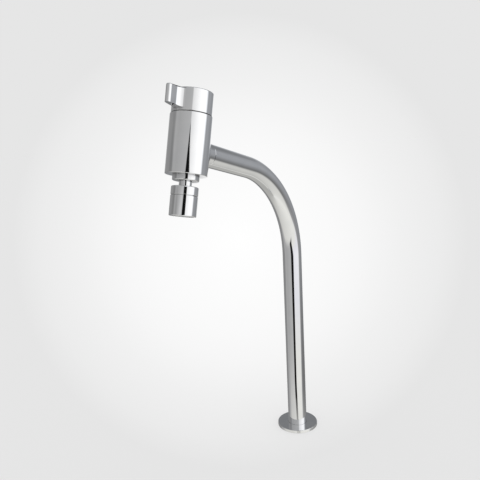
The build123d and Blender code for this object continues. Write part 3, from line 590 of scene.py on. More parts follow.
# Valve body
# A thick round brass body with a short boss on its back that meets the tube, blended by a
# generous fillet. Bored for the cartridge from above and for the outlet from below, then chromed.
body_low, body_high = span_of("valve_body", valve_line)[:2]
boss_reach = span_of("valve_body", arm_line)[1]
body_radius = 19.0 * mm
body_chamfer = 0.5 * mm
body_fillet = 0.6 * mm
boss_fillet = 5.0 * mm
nipple_thread_bore = 9.48 * mm
nipple_thread_start = 18.0 * mm
nipple_bore = 8.25 * mm
chamber_radius = 10.0 * mm
chamber_low = -10.4 * mm
chamber_high = 16.2 * mm
port_radius = 4.5 * mm
outlet_thread_top = -14.4 * mm
headwork_bore = 10.4775 * mm
wall_columns = 144
wall_levels = 25
hole_columns = 48
inwards = (-1, 0)
outwards = (1, 0)
endwise = (0, 1)
bevelled = (1, 1)


def round_a_hole(half_turn, levels, columns):
    """Points (turn, level) round the piece of wall that holds a hole, anticlockwise from outside.

    The turn is the angle about the valve's axis, counted from straight back.
    """
    turns = np.linspace(-half_turn, half_turn, columns + 1)
    low = np.stack([turns[:-1], 0 * turns[:-1] + levels[0]], axis=1)
    far = np.stack([0 * levels[:-1] + half_turn, levels[:-1]], axis=1)
    high = np.stack([turns[:0:-1], 0 * turns[:0:-1] + levels[-1]], axis=1)
    near = np.stack([0 * levels[:0:-1] - half_turn, levels[:0:-1]], axis=1)
    return np.concatenate([low, far, high, near])


def on_wall(radius, turn_and_level, face):
    """Points and normals on a round wall at (turn, level) pairs.

    The normal is the spoke times face, 1 for an outside wall and -1 for a bore.
    """
    spoke = spokes(valve_up, sideways, turn_and_level[..., :1] + np.pi / 2)
    return valve_origin + radius * spoke + valve_up * turn_and_level[..., 1:], face * spoke


def wall_rows(radius, start, end, rows, face):
    """A wall in even steps from one closed loop of (turn, level) pairs to another."""
    share = np.linspace(0, 1, rows)[:, None, None]
    return on_wall(radius, start + share * (end - start), face)


def rest_of_wall(radius, turns, levels, face):
    """A grid of wall over the given turns and levels, its turns run backwards in a bore."""
    pairs = np.stack(np.meshgrid(turns[::face], levels, indexing="ij"), axis=-1)
    points, normals = on_wall(radius, pairs, face)
    return {"points": points, "normals": normals, "wrap": (False, False)}


def round_hole(wall_radius, ring, level=0.0):
    """Angles round a hole at which the points of a wall's ring lie, and the spokes that way.

    The hole's axis crosses the wall's at a level. A spoke is cos(angle) sideways and sin(angle) up
    the wall.
    """
    around = np.arctan2(ring[:, 1] - level, -wall_radius * np.sin(ring[:, 0]))
    return around, np.outer(np.cos(around), sideways) + np.outer(np.sin(around), valve_up)


def hole_rim(wall_radius, hole_radius, around, level=0.0):
    """Where a round hole meets a round wall: (turn, level) pairs and the depth of each.

    A point lies hole_radius * cos(angle) to the side and hole_radius * sin(angle) above the level,
    and Pythagoras gives its depth, measured from the wall's axis.
    """
    across = hole_radius * np.cos(around)
    turn = -np.arcsin(across / wall_radius)
    rim = np.stack([turn, level + hole_radius * np.sin(around)], axis=1)
    return rim, np.sqrt(wall_radius**2 - across**2)


def hole_walls(centre, spoke, corners, leans):
    """Rings of points at both ends of each wall in a hole, with one wall between two corners.

    A corner is a radius about the hole's axis and a depth, or a depth for each spoke. A wall's
    lean says how much its normal follows the spoke and how much the hole's own direction.
    """
    rings = []
    for start, end, (side, straight_out) in zip(corners, corners[1:], leans):
        normals = side * spoke + straight_out * arm_inward
        for radius, depth in (start, end):
            points = centre + radius * spoke + np.outer(depth + 0 * spoke[:, 0], arm_inward)
            rings.append((points[None], normals[None]))
    return rings


def rows_patch(rows):
    """One patch from runs of closed rows."""
    points = np.concatenate([run[0] for run in rows])
    normals = np.concatenate([run[1] for run in rows])
    return {"points": points, "normals": normals, "wrap": (False, True)}


def blend_rows(steps):
    """The fillet that a ball leaves when it is rolled round the corner between boss and body.

    The ball's centre keeps one radius from both walls, so it runs where two walls that much
    bigger would meet. The normal swings evenly from the boss's spoke to the body's, and the
    surface lies one ball radius from the centre, against the normal.
    """
    ball_path = tube_radius + boss_fillet
    centre = valve_origin + ball_path * boss_spoke + np.outer(ball_depth, arm_inward)
    body_spoke = on_wall(1.0, fillet_rim, 1)[1]
    swing = np.arccos(np.clip((boss_spoke * body_spoke).sum(axis=1), -1, 1))[:, None]
    share = np.linspace(0, 1, steps)[:, None, None]
    towards = np.sin((1 - share) * swing) * boss_spoke + np.sin(share * swing) * body_spoke
    normals = towards / np.sin(swing)
    return centre - boss_fillet * normals, normals


hole_half_turn = np.pi * hole_columns / wall_columns
outer_levels = np.linspace(body_low + body_fillet, body_high - body_chamfer, wall_levels)
chamber_levels = np.linspace(chamber_low, chamber_high, wall_levels)
outer_ring = round_a_hole(hole_half_turn, outer_levels, hole_columns)
chamber_ring = round_a_hole(hole_half_turn, chamber_levels, hole_columns)
around_boss, boss_spoke = round_hole(body_radius, outer_ring)
fillet_rim, ball_depth = hole_rim(
    body_radius + boss_fillet, tube_radius + boss_fillet, around_boss
)
nipple_rim, nipple_depth = hole_rim(chamber_radius, nipple_bore, around_boss)
tip_radius = tube_radius - tube_end_chamfer
tip_depth = boss_reach - tube_end_chamfer
boss_corners = [
    (nipple_bore, nipple_depth),
    (nipple_bore, nipple_thread_start),
    (nipple_thread_bore, nipple_thread_start),
    (nipple_thread_bore, boss_reach),
    (tip_radius, boss_reach),
    (tube_radius, tip_depth),
    (tube_radius, ball_depth),
]
boss_leans = [inwards, endwise, inwards, endwise, bevelled, outwards]
boss_patch = rows_patch(
    [
        wall_rows(chamber_radius, chamber_ring, nipple_rim, rows=4, face=-1),
        *hole_walls(valve_origin, boss_spoke, boss_corners, boss_leans),
        blend_rows(steps=14),
        wall_rows(body_radius, fillet_rim, outer_ring, rows=10, face=1),
    ]
)
body_corners = [
    (body_radius, body_high, body_chamfer),
    (headwork_bore, body_high, small_edge),
    (headwork_bore, chamber_high, 0),
    (chamber_radius, chamber_high, 0),
    (chamber_radius, chamber_low, 0),
    (port_radius, chamber_low, 0),
    (port_radius, outlet_thread_top, 0),
    (headwork_bore, outlet_thread_top, 0),
    (headwork_bore, body_low, small_edge),
    (body_radius, body_low, body_fillet),
]
body_angles = full_circle(wall_columns)
far_turns = np.linspace(
    hole_half_turn, 2 * np.pi - hole_half_turn, wall_columns - hole_columns + 1
)
body_top = rounded_outline(body_corners, slice(0, 4))
body_bottom = rounded_outline(body_corners, slice(4, 10))
surface_piece(
    "valve_shell",
    [
        boss_patch,
        rest_of_wall(body_radius, far_turns, outer_levels, face=1),
        rest_of_wall(chamber_radius, far_turns, chamber_levels, face=-1),
        turned(body_top, valve_line, body_angles, closed=False),
        turned(body_bottom, valve_line, body_angles, closed=False),
    ],
    "spout",
    ["valve_body"],
    chrome("valve_chrome", valve_line),
)

# Cartridge
# The quarter-turn headwork: a brass housing screwed into the body with a fibre washer under its
# flange, two lapped ceramic discs, a splined brass spindle, its seals, washers, stop and clip.


def ceramic(name, origin):
    """Lapped alumina: white, hard and slightly glossy, with faint grey specks."""
    material, tree, shader, offset = new_finish(name, origin)
    specks = cloudy(tree, offset, 0.5 * mm, detail=6.0)
    white = (0.93, 0.92, 0.88, 1.0)
    speck_grey = (0.8, 0.8, 0.77, 1.0)
    tone = mixed(tree, stretched(tree, specks, middle=(0.55, 0.75)), white, speck_grey)
    join_up(tree, shader, tone, stretched(tree, specks, 0.12, 0.25))
    return material


def fibre(name, origin):
    """Pressed red fibre: matt, with short threads pressed flat."""
    material, tree, shader, offset = new_finish(name, origin)
    squeeze = (1.0, 0.25, 3.0)
    squeezed = node_in(tree, "ShaderNodeMapping", {"Vector": offset, "Scale": squeeze})
    threads = cloudy(tree, squeezed.outputs["Vector"], 0.6 * mm, detail=6.0)
    dark_red = (0.38, 0.12, 0.07, 1.0)
    light_red = (0.62, 0.25, 0.15, 1.0)
    tone = mixed(tree, stretched(tree, threads), dark_red, light_red)
    rough = stretched(tree, threads, 0.75, 0.9)
    join_up(tree, shader, tone, rough, relief(tree, threads, depth=0.05 * mm))
    return material


cartridge_brass = brass("cartridge_brass", valve_line)
dress(cartridge_brass, "cartridge_housing", "spindle", "stop_ring")
dress(rubber("cartridge_rubber", valve_origin), "seat_seal", "spindle_seals")
dress(fibre("washer_fibre", valve_origin), "neck_washer")
dress(ceramic("disc_ceramic", valve_origin), "fixed_disc", "moving_disc")
dress(acetal("cartridge_acetal", valve_line), "spindle_washer")
dress(steel("clip_steel", valve_line), "spindle_clip")

# Handle
# A hollow chromed cap with a satin top and a flat fin on its front that flares into the round. It
# sits on a brass adapter that its own screw holds on the spindle, locked by a grub screw behind.
cap_low, cap_high = span_of("handle_cap", valve_line)[:2]
cap_radius = 18.3 * mm
cap_inside = 16.3 * mm
cap_top_fillet = 0.8 * mm
cap_foot_fillet = 0.4 * mm
cap_ceiling = 49.0 * mm
satin_edge = 0.04 * mm
satin_roughness = 0.4
hub_bore = 9.02 * mm
hub_radius = 11.4 * mm
hub_low = 41.5 * mm
grub_hole = 2.53 * mm
grub_level = 45.0 * mm
grub_columns = 20
side_columns = 50
side_rows = 12
edge_rows = 7
fin_half = 2.8 * mm
fin_low = 33.2 * mm
fin_high = 49.8 * mm
fin_slope = 0.0811
fin_fillet = 0.9 * mm
nose_forward = 30.29 * mm
flare_radius = 8.5 * mm
flare_across = fin_half + flare_radius
flare_forward = 24.19 * mm


def fin_plan(step):
    """The fin's plan from right to left as (across, forward) points, their normals and roots.

    A flare that bows inwards from where it meets the round wall, a flat side, half the round nose,
    and the same mirrored. A root is the place on the round wall below and above a point.
    """
    flare_angle = np.arctan2(flare_across, flare_forward)
    flare_distance = np.hypot(flare_across, flare_forward)
    opening = np.arccos(
        (flare_distance**2 + flare_radius**2 - cap_radius**2) / (2 * flare_distance * flare_radius)
    )
    start = -np.pi / 2 - flare_angle - opening
    flare_ray = rays(arc_angles(start, -np.pi, step))
    flare = np.array([flare_across, flare_forward]) + flare_radius * flare_ray
    nose_ray = rays(arc_angles(0, np.pi / 2, step))
    nose = np.array([0.0, nose_forward]) + fin_half * nose_ray
    mirror = np.array([-1.0, 1.0])
    half = np.concatenate([flare, nose])
    half_normals = np.concatenate([-flare_ray, nose_ray])
    plan = np.concatenate([half, (half * mirror)[-2::-1]])
    normals = np.concatenate([half_normals, (half_normals * mirror)[-2::-1]])
    root_turn = np.arctan2(flare[0, 0], flare[0, 1])
    root_turns = np.linspace(root_turn, -root_turn, len(plan))
    root = cap_radius * rays(np.pi / 2 - root_turns)
    return plan, normals, root, root_turns


def square_to_axis(pairs):
    """Vectors square to the valve's axis from (across, forward) pairs."""
    return pairs[:, :1] * np.array(sideways) + pairs[:, 1:] * arm_outward


def plan_row(plan, level, normals, rise=0.0):
    """Points and normals from (across, forward) pairs.

    The points lie at one level on the valve's axis, or at one for each. The normals lean up from
    their own pairs by an angle.
    """
    level = np.broadcast_to(level, plan.shape[:1])[:, None]
    points = valve_origin + square_to_axis(plan) + level * valve_up
    return points, np.cos(rise) * square_to_axis(normals) + np.sin(rise) * valve_up


def cap_front(plan, plan_normals, root):
    """The cap's front as one patch: up the round wall, out under the fin, up the fin and back.

    Under the fin the level rises with the distance beyond the round wall. The fin's upper edge is
    a quarter round, and where it would end inside the round wall it ends on it. Both ends of every
    row lie on the round wall, at the levels where the rest of the wall has its own rows.
    """
    wall = root / cap_radius
    fin_foot = fin_low + fin_slope * np.clip(np.linalg.norm(plan, axis=1) - cap_radius, 0, None)
    rows = [
        plan_row(root, cap_low + cap_foot_fillet, wall),
        plan_row(root, fin_low, wall),
        plan_row(root, fin_low, wall, -np.pi / 2),
        plan_row(plan, fin_foot, wall, -np.pi / 2),
    ]
    for share in np.linspace(0, 1, len(side_levels)):
        level = fin_foot + share * (side_levels[-1] - fin_foot)
        rows.append(plan_row(plan, level, plan_normals))
    for rise, level in zip(edge_rises, edge_levels):
        inset = plan - fin_fillet * (1 - np.cos(rise)) * plan_normals
        distance = np.linalg.norm(inset, axis=1)[:, None]
        inset = np.where(distance < cap_radius, inset / distance * cap_radius, inset)
        inset[[0, -1]] = root[[0, -1]]
        rows.append(plan_row(inset, level, plan_normals, rise))
    rows += [
        plan_row(root, fin_high, wall, np.pi / 2),
        plan_row(root, fin_high, wall),
        plan_row(root, cap_high - cap_top_fillet, wall),
    ]
    points = np.stack([row[0] for row in rows], axis=1)[::-1]
    normals = np.stack([row[1] for row in rows], axis=1)[::-1]
    return {"points": points, "normals": normals, "wrap": (False, False)}


def satin_top(material, level):
    """Chrome brushed satin on a piece's flat top, which lies at a level on the valve's axis."""
    tree = material.node_tree
    place = node_in(tree, "ShaderNodeTexCoord").outputs["Object"]
    height = vector_maths(tree, "DOT_PRODUCT", place, tuple(valve_up))
    top_height = valve_origin @ valve_up + level
    on_top = remap(tree, height, top_height - satin_edge, top_height - satin_edge / 4)
    finish = tree.nodes["Principled BSDF"].inputs["Roughness"]
    polished = finish.links[0].from_socket
    tree.links.new(remap(tree, on_top, 0.0, 1.0, polished, satin_roughness), finish)


plan, plan_normals, root, root_turns = fin_plan(step=0.09)
side_levels = np.linspace(fin_low, fin_high - fin_fillet, side_rows)
edge_rises = np.linspace(0, np.pi / 2, edge_rows)
edge_levels = fin_high - fin_fillet * (1 - np.sin(edge_rises))
cap_levels = np.concatenate(
    [[cap_low + cap_foot_fillet], side_levels, edge_levels[1:], [cap_high - cap_top_fillet]]
)
inner_levels = np.linspace(cap_low, cap_ceiling, len(cap_levels))
grub_half_turn = np.pi * grub_columns / wall_columns
cap_ring = round_a_hole(grub_half_turn, cap_levels, grub_columns)
inner_ring = round_a_hole(grub_half_turn, inner_levels, grub_columns)
around_grub, grub_spoke = round_hole(cap_radius, cap_ring, grub_level)
grub_centre = valve_origin + grub_level * valve_up
outer_rim, outer_depth = hole_rim(cap_radius, grub_hole, around_grub, grub_level)
inner_rim, inner_depth = hole_rim(cap_inside, grub_hole, around_grub, grub_level)
grub_corners = [(grub_hole, inner_depth), (grub_hole, outer_depth)]
grub_patch = rows_patch(
    [
        wall_rows(cap_inside, inner_ring, inner_rim, rows=4, face=-1),
        *hole_walls(grub_centre, grub_spoke, grub_corners, [inwards]),
        wall_rows(cap_radius, outer_rim, cap_ring, rows=7, face=1),
    ]
)
right_turn = np.pi + root_turns[0]
left_turn = np.pi - root_turns[0]
back_turns = np.linspace(-grub_half_turn, grub_half_turn, grub_columns + 1)
left_turns = np.linspace(grub_half_turn, left_turn, side_columns)
right_turns = np.linspace(right_turn, 2 * np.pi - grub_half_turn, side_columns)
front_turns = np.pi + root_turns[::-1]
cap_turns = np.concatenate([back_turns, left_turns[1:], front_turns[1:], right_turns[1:-1]])
inner_turns = np.concatenate([left_turns, front_turns[1:], right_turns[1:]])
cap_angles = cap_turns + np.pi / 2
cap_corners = [
    (cap_inside, cap_low, 0),
    (cap_radius, cap_low, cap_foot_fillet),
    (cap_radius, cap_high, cap_top_fillet),
    (0, cap_high, 0),
    (0, cap_ceiling, 0),
    (hub_bore, cap_ceiling, 0),
    (hub_bore, hub_low, 0),
    (hub_radius, hub_low, 0),
    (hub_radius, cap_ceiling, 0),
    (cap_inside, cap_ceiling, 0),
]
cap_foot = rounded_outline(cap_corners, slice(0, 2))
cap_crown = rounded_outline(cap_corners, slice(2, 10))
# The handle's chrome carries painted shade as far as 4 mm in, which darkens it under the fin.
handle_chrome = chrome("handle_chrome", valve_line, shade_reach=4.0 * mm)
satin_top(handle_chrome, cap_high)
surface_piece(
    "handle_shell",
    [
        cap_front(plan, plan_normals, root),
        rest_of_wall(cap_radius, left_turns, cap_levels, face=1),
        rest_of_wall(cap_radius, right_turns, cap_levels, face=1),
        rest_of_wall(cap_inside, inner_turns, inner_levels, face=-1),
        grub_patch,
        turned(cap_foot, valve_line, cap_angles, closed=False),
        turned(cap_crown, valve_line, cap_angles, closed=False),
    ],
    "handle",
    ["handle_cap"],
    handle_chrome,
)
dress(brass("adapter_brass", valve_line), "handle_adapter")
dress(steel("screw_steel", valve_line), "adapter_screw")
dress(steel("grub_steel", arm_line), "grub_screw")

# Outlet collar
# A chromed brass collar screwed up into the body. Its rounded lower edge shows under the body; a
# fibre gasket seals its shoulder and an acetal washer carries the ball stem inside it.
collar_low = span_of("outlet_collar", valve_line)[0]
collar_radius = 12.1975 * mm
collar_fillet = 1.2 * mm
collar_shoulder = -22.4 * mm
collar_thread_radius = 10.4475 * mm
collar_thread_top = -15.4 * mm
collar_bore = 8.6475 * mm
collar_shelf = -25.6 * mm
stem_bore = 5.85 * mm
collar_outline = rounded_outline(
    [
        (stem_bore, collar_low, small_edge),
        (collar_radius, collar_low, collar_fillet),
        (collar_radius, collar_shoulder, fine_edge),
        (collar_thread_radius, collar_shoulder, 0),
        (collar_thread_radius, collar_thread_top, soft_edge),
        (collar_bore, collar_thread_top, 0),
        (collar_bore, collar_shelf, 0),
        (stem_bore, collar_shelf, 0),
    ]
)
# The collar's chrome carries painted shade as far as 8 mm in, which darkens its lower edge round
# the stem.
surface_piece(
    "collar",
    [turned(collar_outline, valve_line, full_circle(segments=96))],
    "spout",
    ["outlet_collar"],
    chrome("collar_chrome", valve_line, shade_reach=8.0 * mm),
)
dress(fibre("collar_fibre", valve_origin), "collar_gasket")
dress(acetal("stem_washer_acetal", valve_line), "stem_washer")

# Ball stem and seat
# The chromed stem turns in the collar on a rubber seal and ends in a ball. The spray head hangs
# on the ball and tilts about it, held against an acetal cup.
ball_centre = -39.0 * mm
ball_radius = 8.6 * mm
ball_flat = -45.6 * mm
stem_hole = 3.5 * mm
stem_neck = 5.8 * mm
flange_low = -24.8 * mm
flange_high = -15.0 * mm
flange_radius = 8.5975 * mm
flange_groove = (-23.7 * mm, -21.5 * mm)
flange_groove_radius = 7.0975 * mm


def ball_arc(radius, low, high, face=1, steps=40):
    """Part of a ball's outline between two heights, with normals straight from its centre.

    The outline runs upwards on the outside of a ball and downwards in a socket.
    """
    start = np.arcsin((low - ball_centre) / radius)
    end = np.arcsin((high - ball_centre) / radius)
    ray = rays(np.linspace(start, end, steps)[::face])
    return np.array([0.0, ball_centre]) + radius * ray, face * ray


def joined(*outlines):
    """Outlines drawn one after another as one."""
    return tuple(np.concatenate(parts) for parts in zip(*outlines))


flat_radius = np.sqrt(ball_radius**2 - (ball_flat - ball_centre) ** 2)
neck_foot = ball_centre + np.sqrt(ball_radius**2 - stem_neck**2)
stem_corners = [
    (stem_neck, neck_foot, 0),
    (stem_neck, flange_low, 0),
    (flange_radius, flange_low, fine_edge),
    *groove_corners(flange_radius, flange_groove_radius, *flange_groove),
    (flange_radius, flange_high, small_edge),
    (stem_hole, flange_high, 0),
    (stem_hole, ball_flat, 0),
    (flat_radius, ball_flat, 0),
]
stem_outline = joined(ball_arc(ball_radius, ball_flat, neck_foot), rounded_outline(stem_corners))
surface_piece(
    "stem_and_ball",
    [turned(stem_outline, valve_line, full_circle(segments=96))],
    "outlet_stem",
    ["ball_stem"],
    chrome("stem_chrome", valve_line),
)
dress(rubber("stem_rubber", valve_origin), "stem_seal")
dress(acetal("seat_acetal", valve_line), "ball_seat")

# Spray head shell
# Two chromed brass rings screwed together: the upper one has the round socket that hangs on the
# ball, the lower one a lip that holds the aerator. Their bevelled edges leave a groove between.
head_high = span_of("socket_ring", valve_line)[1]
head_low = span_of("head_barrel", valve_line)[0]
head_radius = 12.35 * mm
head_split = -40.3 * mm
head_bevel = 0.6 * mm
head_edge = 1.0 * mm
socket_radius = 8.65 * mm
socket_mouth = 7.45 * mm
socket_flare = 8.35 * mm
socket_low = -39.2 * mm
ring_bore = 9.2 * mm
ring_thread = 11.17 * mm
ring_thread_low = -44.6 * mm
barrel_bore = 11.2 * mm
barrel_lip = 10.0 * mm
lip_top = -57.6 * mm
mouth_level = ball_centre + np.sqrt(socket_radius**2 - socket_mouth**2)
socket_foot = np.sqrt(socket_radius**2 - (socket_low - ball_centre) ** 2)
ring_corners = [
    (ring_bore, ring_thread_low, 0),
    (ring_thread, ring_thread_low, small_edge),
    (ring_thread, head_split, 0),
    (head_radius - head_bevel, head_split, 0),
    (head_radius, head_split + head_bevel, 0),
    (head_radius, head_high, head_edge),
    (socket_flare, head_high, fine_edge),
    (socket_mouth, mouth_level, 0),
    (socket_foot, socket_low, 0),
    (ring_bore, socket_low, 0),
]
ring_outline = joined(
    rounded_outline(ring_corners, slice(0, 8)),
    ball_arc(socket_radius, socket_low, mouth_level, face=-1),
    rounded_outline(ring_corners, slice(8, 10)),
)
barrel_outline = rounded_outline(
    [
        (barrel_lip, head_low, small_edge),
        (head_radius, head_low, head_edge),
        (head_radius, head_split - head_bevel, 0),
        (head_radius - head_bevel, head_split, 0),
        (barrel_bore, head_split, 0),
        (barrel_bore, lip_top, 0),
        (barrel_lip, lip_top, 0),
    ]
)
# The head's chrome carries painted shade as far as 8 mm in, which darkens its top edge under the
# collar.
head_chrome = chrome("head_chrome", valve_line, shade_reach=8.0 * mm)
for shell_name, outline, node in (
    ("head_ring", ring_outline, "socket_ring"),
    ("head_shell", barrel_outline, "head_barrel"),
):
    patch = turned(outline, valve_line, full_circle(segments=120))
    surface_piece(shell_name, [patch], "spray_head", [node], head_chrome)

# Aerator
# A moulded insert with a honeycomb mouth, two steel screens, a jet plate and a flow regulator,
# sealed in the head by a rubber washer and a ring.


def moulded_plastic(name, origin):
    """Pale grey moulded plastic: even, slightly silky, with a trace of flow in its tone."""
    material, tree, shader, offset = new_finish(name, origin)
    flow = cloudy(tree, offset, 3 * mm)
    skin = cloudy(tree, offset, 0.15 * mm, detail=2.0)
    grey_streak = (0.74, 0.75, 0.75, 1.0)
    pale_grey = (0.84, 0.85, 0.84, 1.0)
    tone = mixed(tree, stretched(tree, flow, middle=(0.35, 0.65)), grey_streak, pale_grey)
    rough = stretched(tree, flow, 0.38, 0.52)
    join_up(tree, shader, tone, rough, relief(tree, skin, depth=0.01 * mm))
    return material


aerator_plastic = moulded_plastic("aerator_plastic", valve_origin)
dress(aerator_plastic, "aerator_insert", "jet_plate", "flow_regulator")
dress(steel("screen_steel", valve_line), "aerator_screens")
dress(rubber("aerator_rubber", valve_origin), "head_washer", "regulator_ring")

# Camera
# It stands where the photograph was taken from: right of the spout, level with the valve and
# looking a little down, held slightly out of level.
photo_width = 480
focal_pixels = 529.5
sensor_width = 36.0
camera_place = Vector((0.31442, -0.52516, 0.34846))
camera_yaw = np.radians(36.56)
camera_pitch = np.radians(10.45)
camera_roll = np.radians(-2.94)
flat_length = np.cos(camera_pitch)
back = Vector(
    (np.sin(camera_yaw) * flat_length, -np.cos(camera_yaw) * flat_length, np.sin(camera_pitch))
)
level = (-back).cross(Vector(upright)).normalized()
crown = level.cross(-back)
right = np.cos(camera_roll) * level + np.sin(camera_roll) * crown
top = -np.sin(camera_roll) * level + np.cos(camera_roll) * crown
camera_data = bpy.data.cameras.new("camera")
camera_data.sensor_width = sensor_width
camera_data.lens = focal_pixels / photo_width * sensor_width
camera = bpy.data.objects.new("camera", camera_data)
bpy.context.scene.collection.objects.link(camera)
stance = Matrix((right, top, back)).transposed().to_4x4()
camera.matrix_world = Matrix.Translation(camera_place) @ stance
bpy.context.scene.camera = camera

# Room round the tap
# What the chrome mirrors: a grey room with one tall soft box on the right and the dark slit beside
# it, a pale panel behind, a dull ceiling and a pale, slightly warm table. The rest has flat light.
# Bearings and heights are in degrees. A run says where a change begins and where it is complete.
chrome_share = 0.89
untinted = (1.0, 1.0, 1.0)
warm = (1.0, 0.995, 0.95)
cool = (0.96, 0.99, 1.03)
violet = (1.0, 1.0, 1.05)


def grey(tone, tint=untinted):
    """Linear colour that the chrome mirrors as a display tone of 0 to 255, with a tint.

    The tone is made linear by the sRGB curve and divided by the share of light that chrome mirrors.
    """
    linear = ((tone / 255 + 0.055) / 1.055) ** 2.4 / chrome_share
    return (linear * tint[0], linear * tint[1], linear * tint[2], 1.0)


def tone_ramp(tree, value, stops):
    """A colour that runs through (position, colour) stops."""
    ramp = node_in(tree, "ShaderNodeValToRGB", {"Fac": value})
    elements = ramp.color_ramp.elements
    elements[0].position, elements[0].color = stops[0]
    elements[1].position, elements[1].color = stops[-1]
    for position, colour in stops[1:-1]:
        elements.new(position).color = colour
    return ramp.outputs["Color"]


def product(first, second):
    """Two of the room's numbers multiplied."""
    return maths(room, "MULTIPLY", first, second)


def round_ramp(angle, angles_and_colours):
    """A colour that runs through the colours set at some angles of -180 to 180 degrees."""
    place = maths(room, "ADD", product(angle, 1 / 360), 0.5)
    stops = [(degrees / 360 + 0.5, colour) for degrees, colour in angles_and_colours]
    return tone_ramp(room, place, stops)


def by_bearing(angle, bearings_and_tones, tint=untinted):
    """A colour that runs through tones at some bearings, 0 straight out past the spout's end."""
    return round_ramp(angle, [(degrees, grey(tone, tint)) for degrees, tone in bearings_and_tones])


def run_through(angle, angles_and_numbers):
    """A number that runs through the numbers set at some angles of -180 to 180 degrees."""
    lowest = min(number for degrees, number in angles_and_numbers)
    span = max(number for degrees, number in angles_and_numbers) - lowest
    stops = []
    for degrees, number in angles_and_numbers:
        share = (number - lowest) / span
        stops.append((degrees, (share, share, share, 1.0)))
    return maths(room, "ADD", product(round_ramp(angle, stops), span), lowest)


def straight(value, run, full=1.0):
    """A share that grows evenly from nothing to full over a run of a value."""
    return remap(room, value, *run, 0.0, full)


def eased(value, run, full=1.0):
    """A share that grows from nothing to full over a run of a value, slowly at both ends."""
    return remap(room, value, *run, 0.0, full, "SMOOTHSTEP")


world = bpy.data.worlds.new("room")
bpy.context.scene.world = world
world.use_nodes = True
room = world.node_tree
room.nodes.clear()
direction = node_in(room, "ShaderNodeTexCoord").outputs["Generated"]
parts = node_in(room, "ShaderNodeSeparateXYZ", {0: direction})
forward = product(parts.outputs["Y"], -1.0)
bearing = product(maths(room, "ARCTAN2", parts.outputs["X"], forward), 180 / np.pi)
height = product(maths(room, "ARCSINE", parts.outputs["Z"]), 180 / np.pi)

# Walls: one list of tones for a level band and one for above and below it. The soft box is their
# brightest stretch, on the right. It leans, so its foot stands further round to the front.
box_lean = 30.0
box_lean_run = (5.0, -26.0)
band_top_run = (19.5, 16.5)
band_foot_run = (-12.0, -4.0)
outer_tones = [
    (-180, 150), (-146, 186), (-132, 186), (-104, 140), (-90, 132), (-54, 132), (-42, 164),
    (-20, 160), (43, 174), (48, 222), (96, 260), (126, 260), (138, 150), (165, 160), (180, 150),
]
band_tones = [
    (-180, 140), (-160, 176), (-132, 186), (-104, 140), (-72, 138), (-60, 125), (-48, 125),
    (-37, 158), (-20, 144), (16, 195), (26, 195), (36, 158), (46, 150), (51, 222), (62, 237),
    (96, 260), (126, 260), (138, 150), (152, 156), (180, 140),
]
box_bearing = maths(room, "ADD", bearing, straight(height, box_lean_run, box_lean))
outer_walls = by_bearing(box_bearing, outer_tones)
band_walls = by_bearing(box_bearing, band_tones)
in_band = product(straight(height, band_top_run), straight(height, band_foot_run))
walls = mixed(room, in_band, outer_walls, band_walls)

# Low on the walls nothing is brighter than the soft box's dimmed foot. The far side of the room,
# away from the spout, is a little bluer.
dimming_run = (1.0, -17.0)
box_foot_run = (-17.0, -23.0)
dimmed_box = grey(224, violet)
dimmed_foot = grey(226, warm)
far_side_run = (108.0, 146.0)
far_side_tint = (0.97, 1.0, 1.05, 1.0)
box_foot = mixed(room, straight(height, box_foot_run), dimmed_box, dimmed_foot)
dimmed = mixed(room, straight(height, dimming_run), walls, box_foot, blend="DARKEN")
far_side = eased(maths(room, "ABSOLUTE", bearing), far_side_run)
tinted = mixed(room, far_side, dimmed, far_side_tint, blend="MULTIPLY")

# Ceiling: it hangs lower on the far side. Overhead it is an even grey, paler in the middle.
ceiling_tones = [
    (-180, 122), (-120, 120), (-60, 150), (0, 172), (45, 178), (54, 245), (112, 250), (140, 138),
    (180, 122),
]
ceiling_drop = 11.0
ceiling_run = (26.0, 38.0)
overhead_run = (48.0, 70.0)
overhead_grey = grey(124)
zenith_run = (72.0, 80.0)
zenith_grey = grey(184)
ceiling = by_bearing(bearing, ceiling_tones, cool)
ceiling_height = maths(room, "ADD", height, product(far_side, ceiling_drop))
above = mixed(room, eased(ceiling_height, ceiling_run), tinted, ceiling)
overhead = mixed(room, eased(height, overhead_run), above, overhead_grey)
zenith = mixed(room, eased(height, zenith_run), overhead, zenith_grey)

# Shade: it lies low down on the far side and past the soft box.
past_box_run = (136.0, 156.0)
shade_run = (4.0, -27.0)
shade_depth = 0.9
shade_grey = grey(104)
in_shade = maths(room, "MAXIMUM", far_side, eased(box_bearing, past_box_run))
shade = product(in_shade, eased(height, shade_run, shade_depth))
shaded = mixed(room, shade, zenith, shade_grey)

# Panel: it stands behind the tap as the camera sees it.
panel_bearing = -152.0
panel_side_run = (17.0, 13.0)
panel_top_run = (12.0, 6.0)
panel_foot_run = (-26.0, -18.0)
panel_white = grey(240)
from_panel = maths(room, "ABSOLUTE", maths(room, "SUBTRACT", bearing, panel_bearing))
panel_rows = product(eased(height, panel_top_run), eased(height, panel_foot_run))
panel = product(eased(from_panel, panel_side_run), panel_rows)
backed = mixed(room, panel, shaded, panel_white)

# Table: its edge is higher in front of the tap and lower on the tap's left.
table_tones = [
    (-180, 176), (-132, 168), (-108, 172), (-84, 190), (-36, 207), (84, 228), (108, 211),
    (156, 196), (180, 180),
]
table_rises = [
    (-150, 0), (-118, -6), (-98, -8), (-80, -5), (-62, 1), (-46, 8), (60, 8), (84, 3), (150, 3),
]
table_run = (-28.0, -41.0)
table = by_bearing(bearing, table_tones, warm)
table_height = maths(room, "SUBTRACT", height, run_through(bearing, table_rises))
studio = mixed(room, eased(table_height, table_run), backed, table)

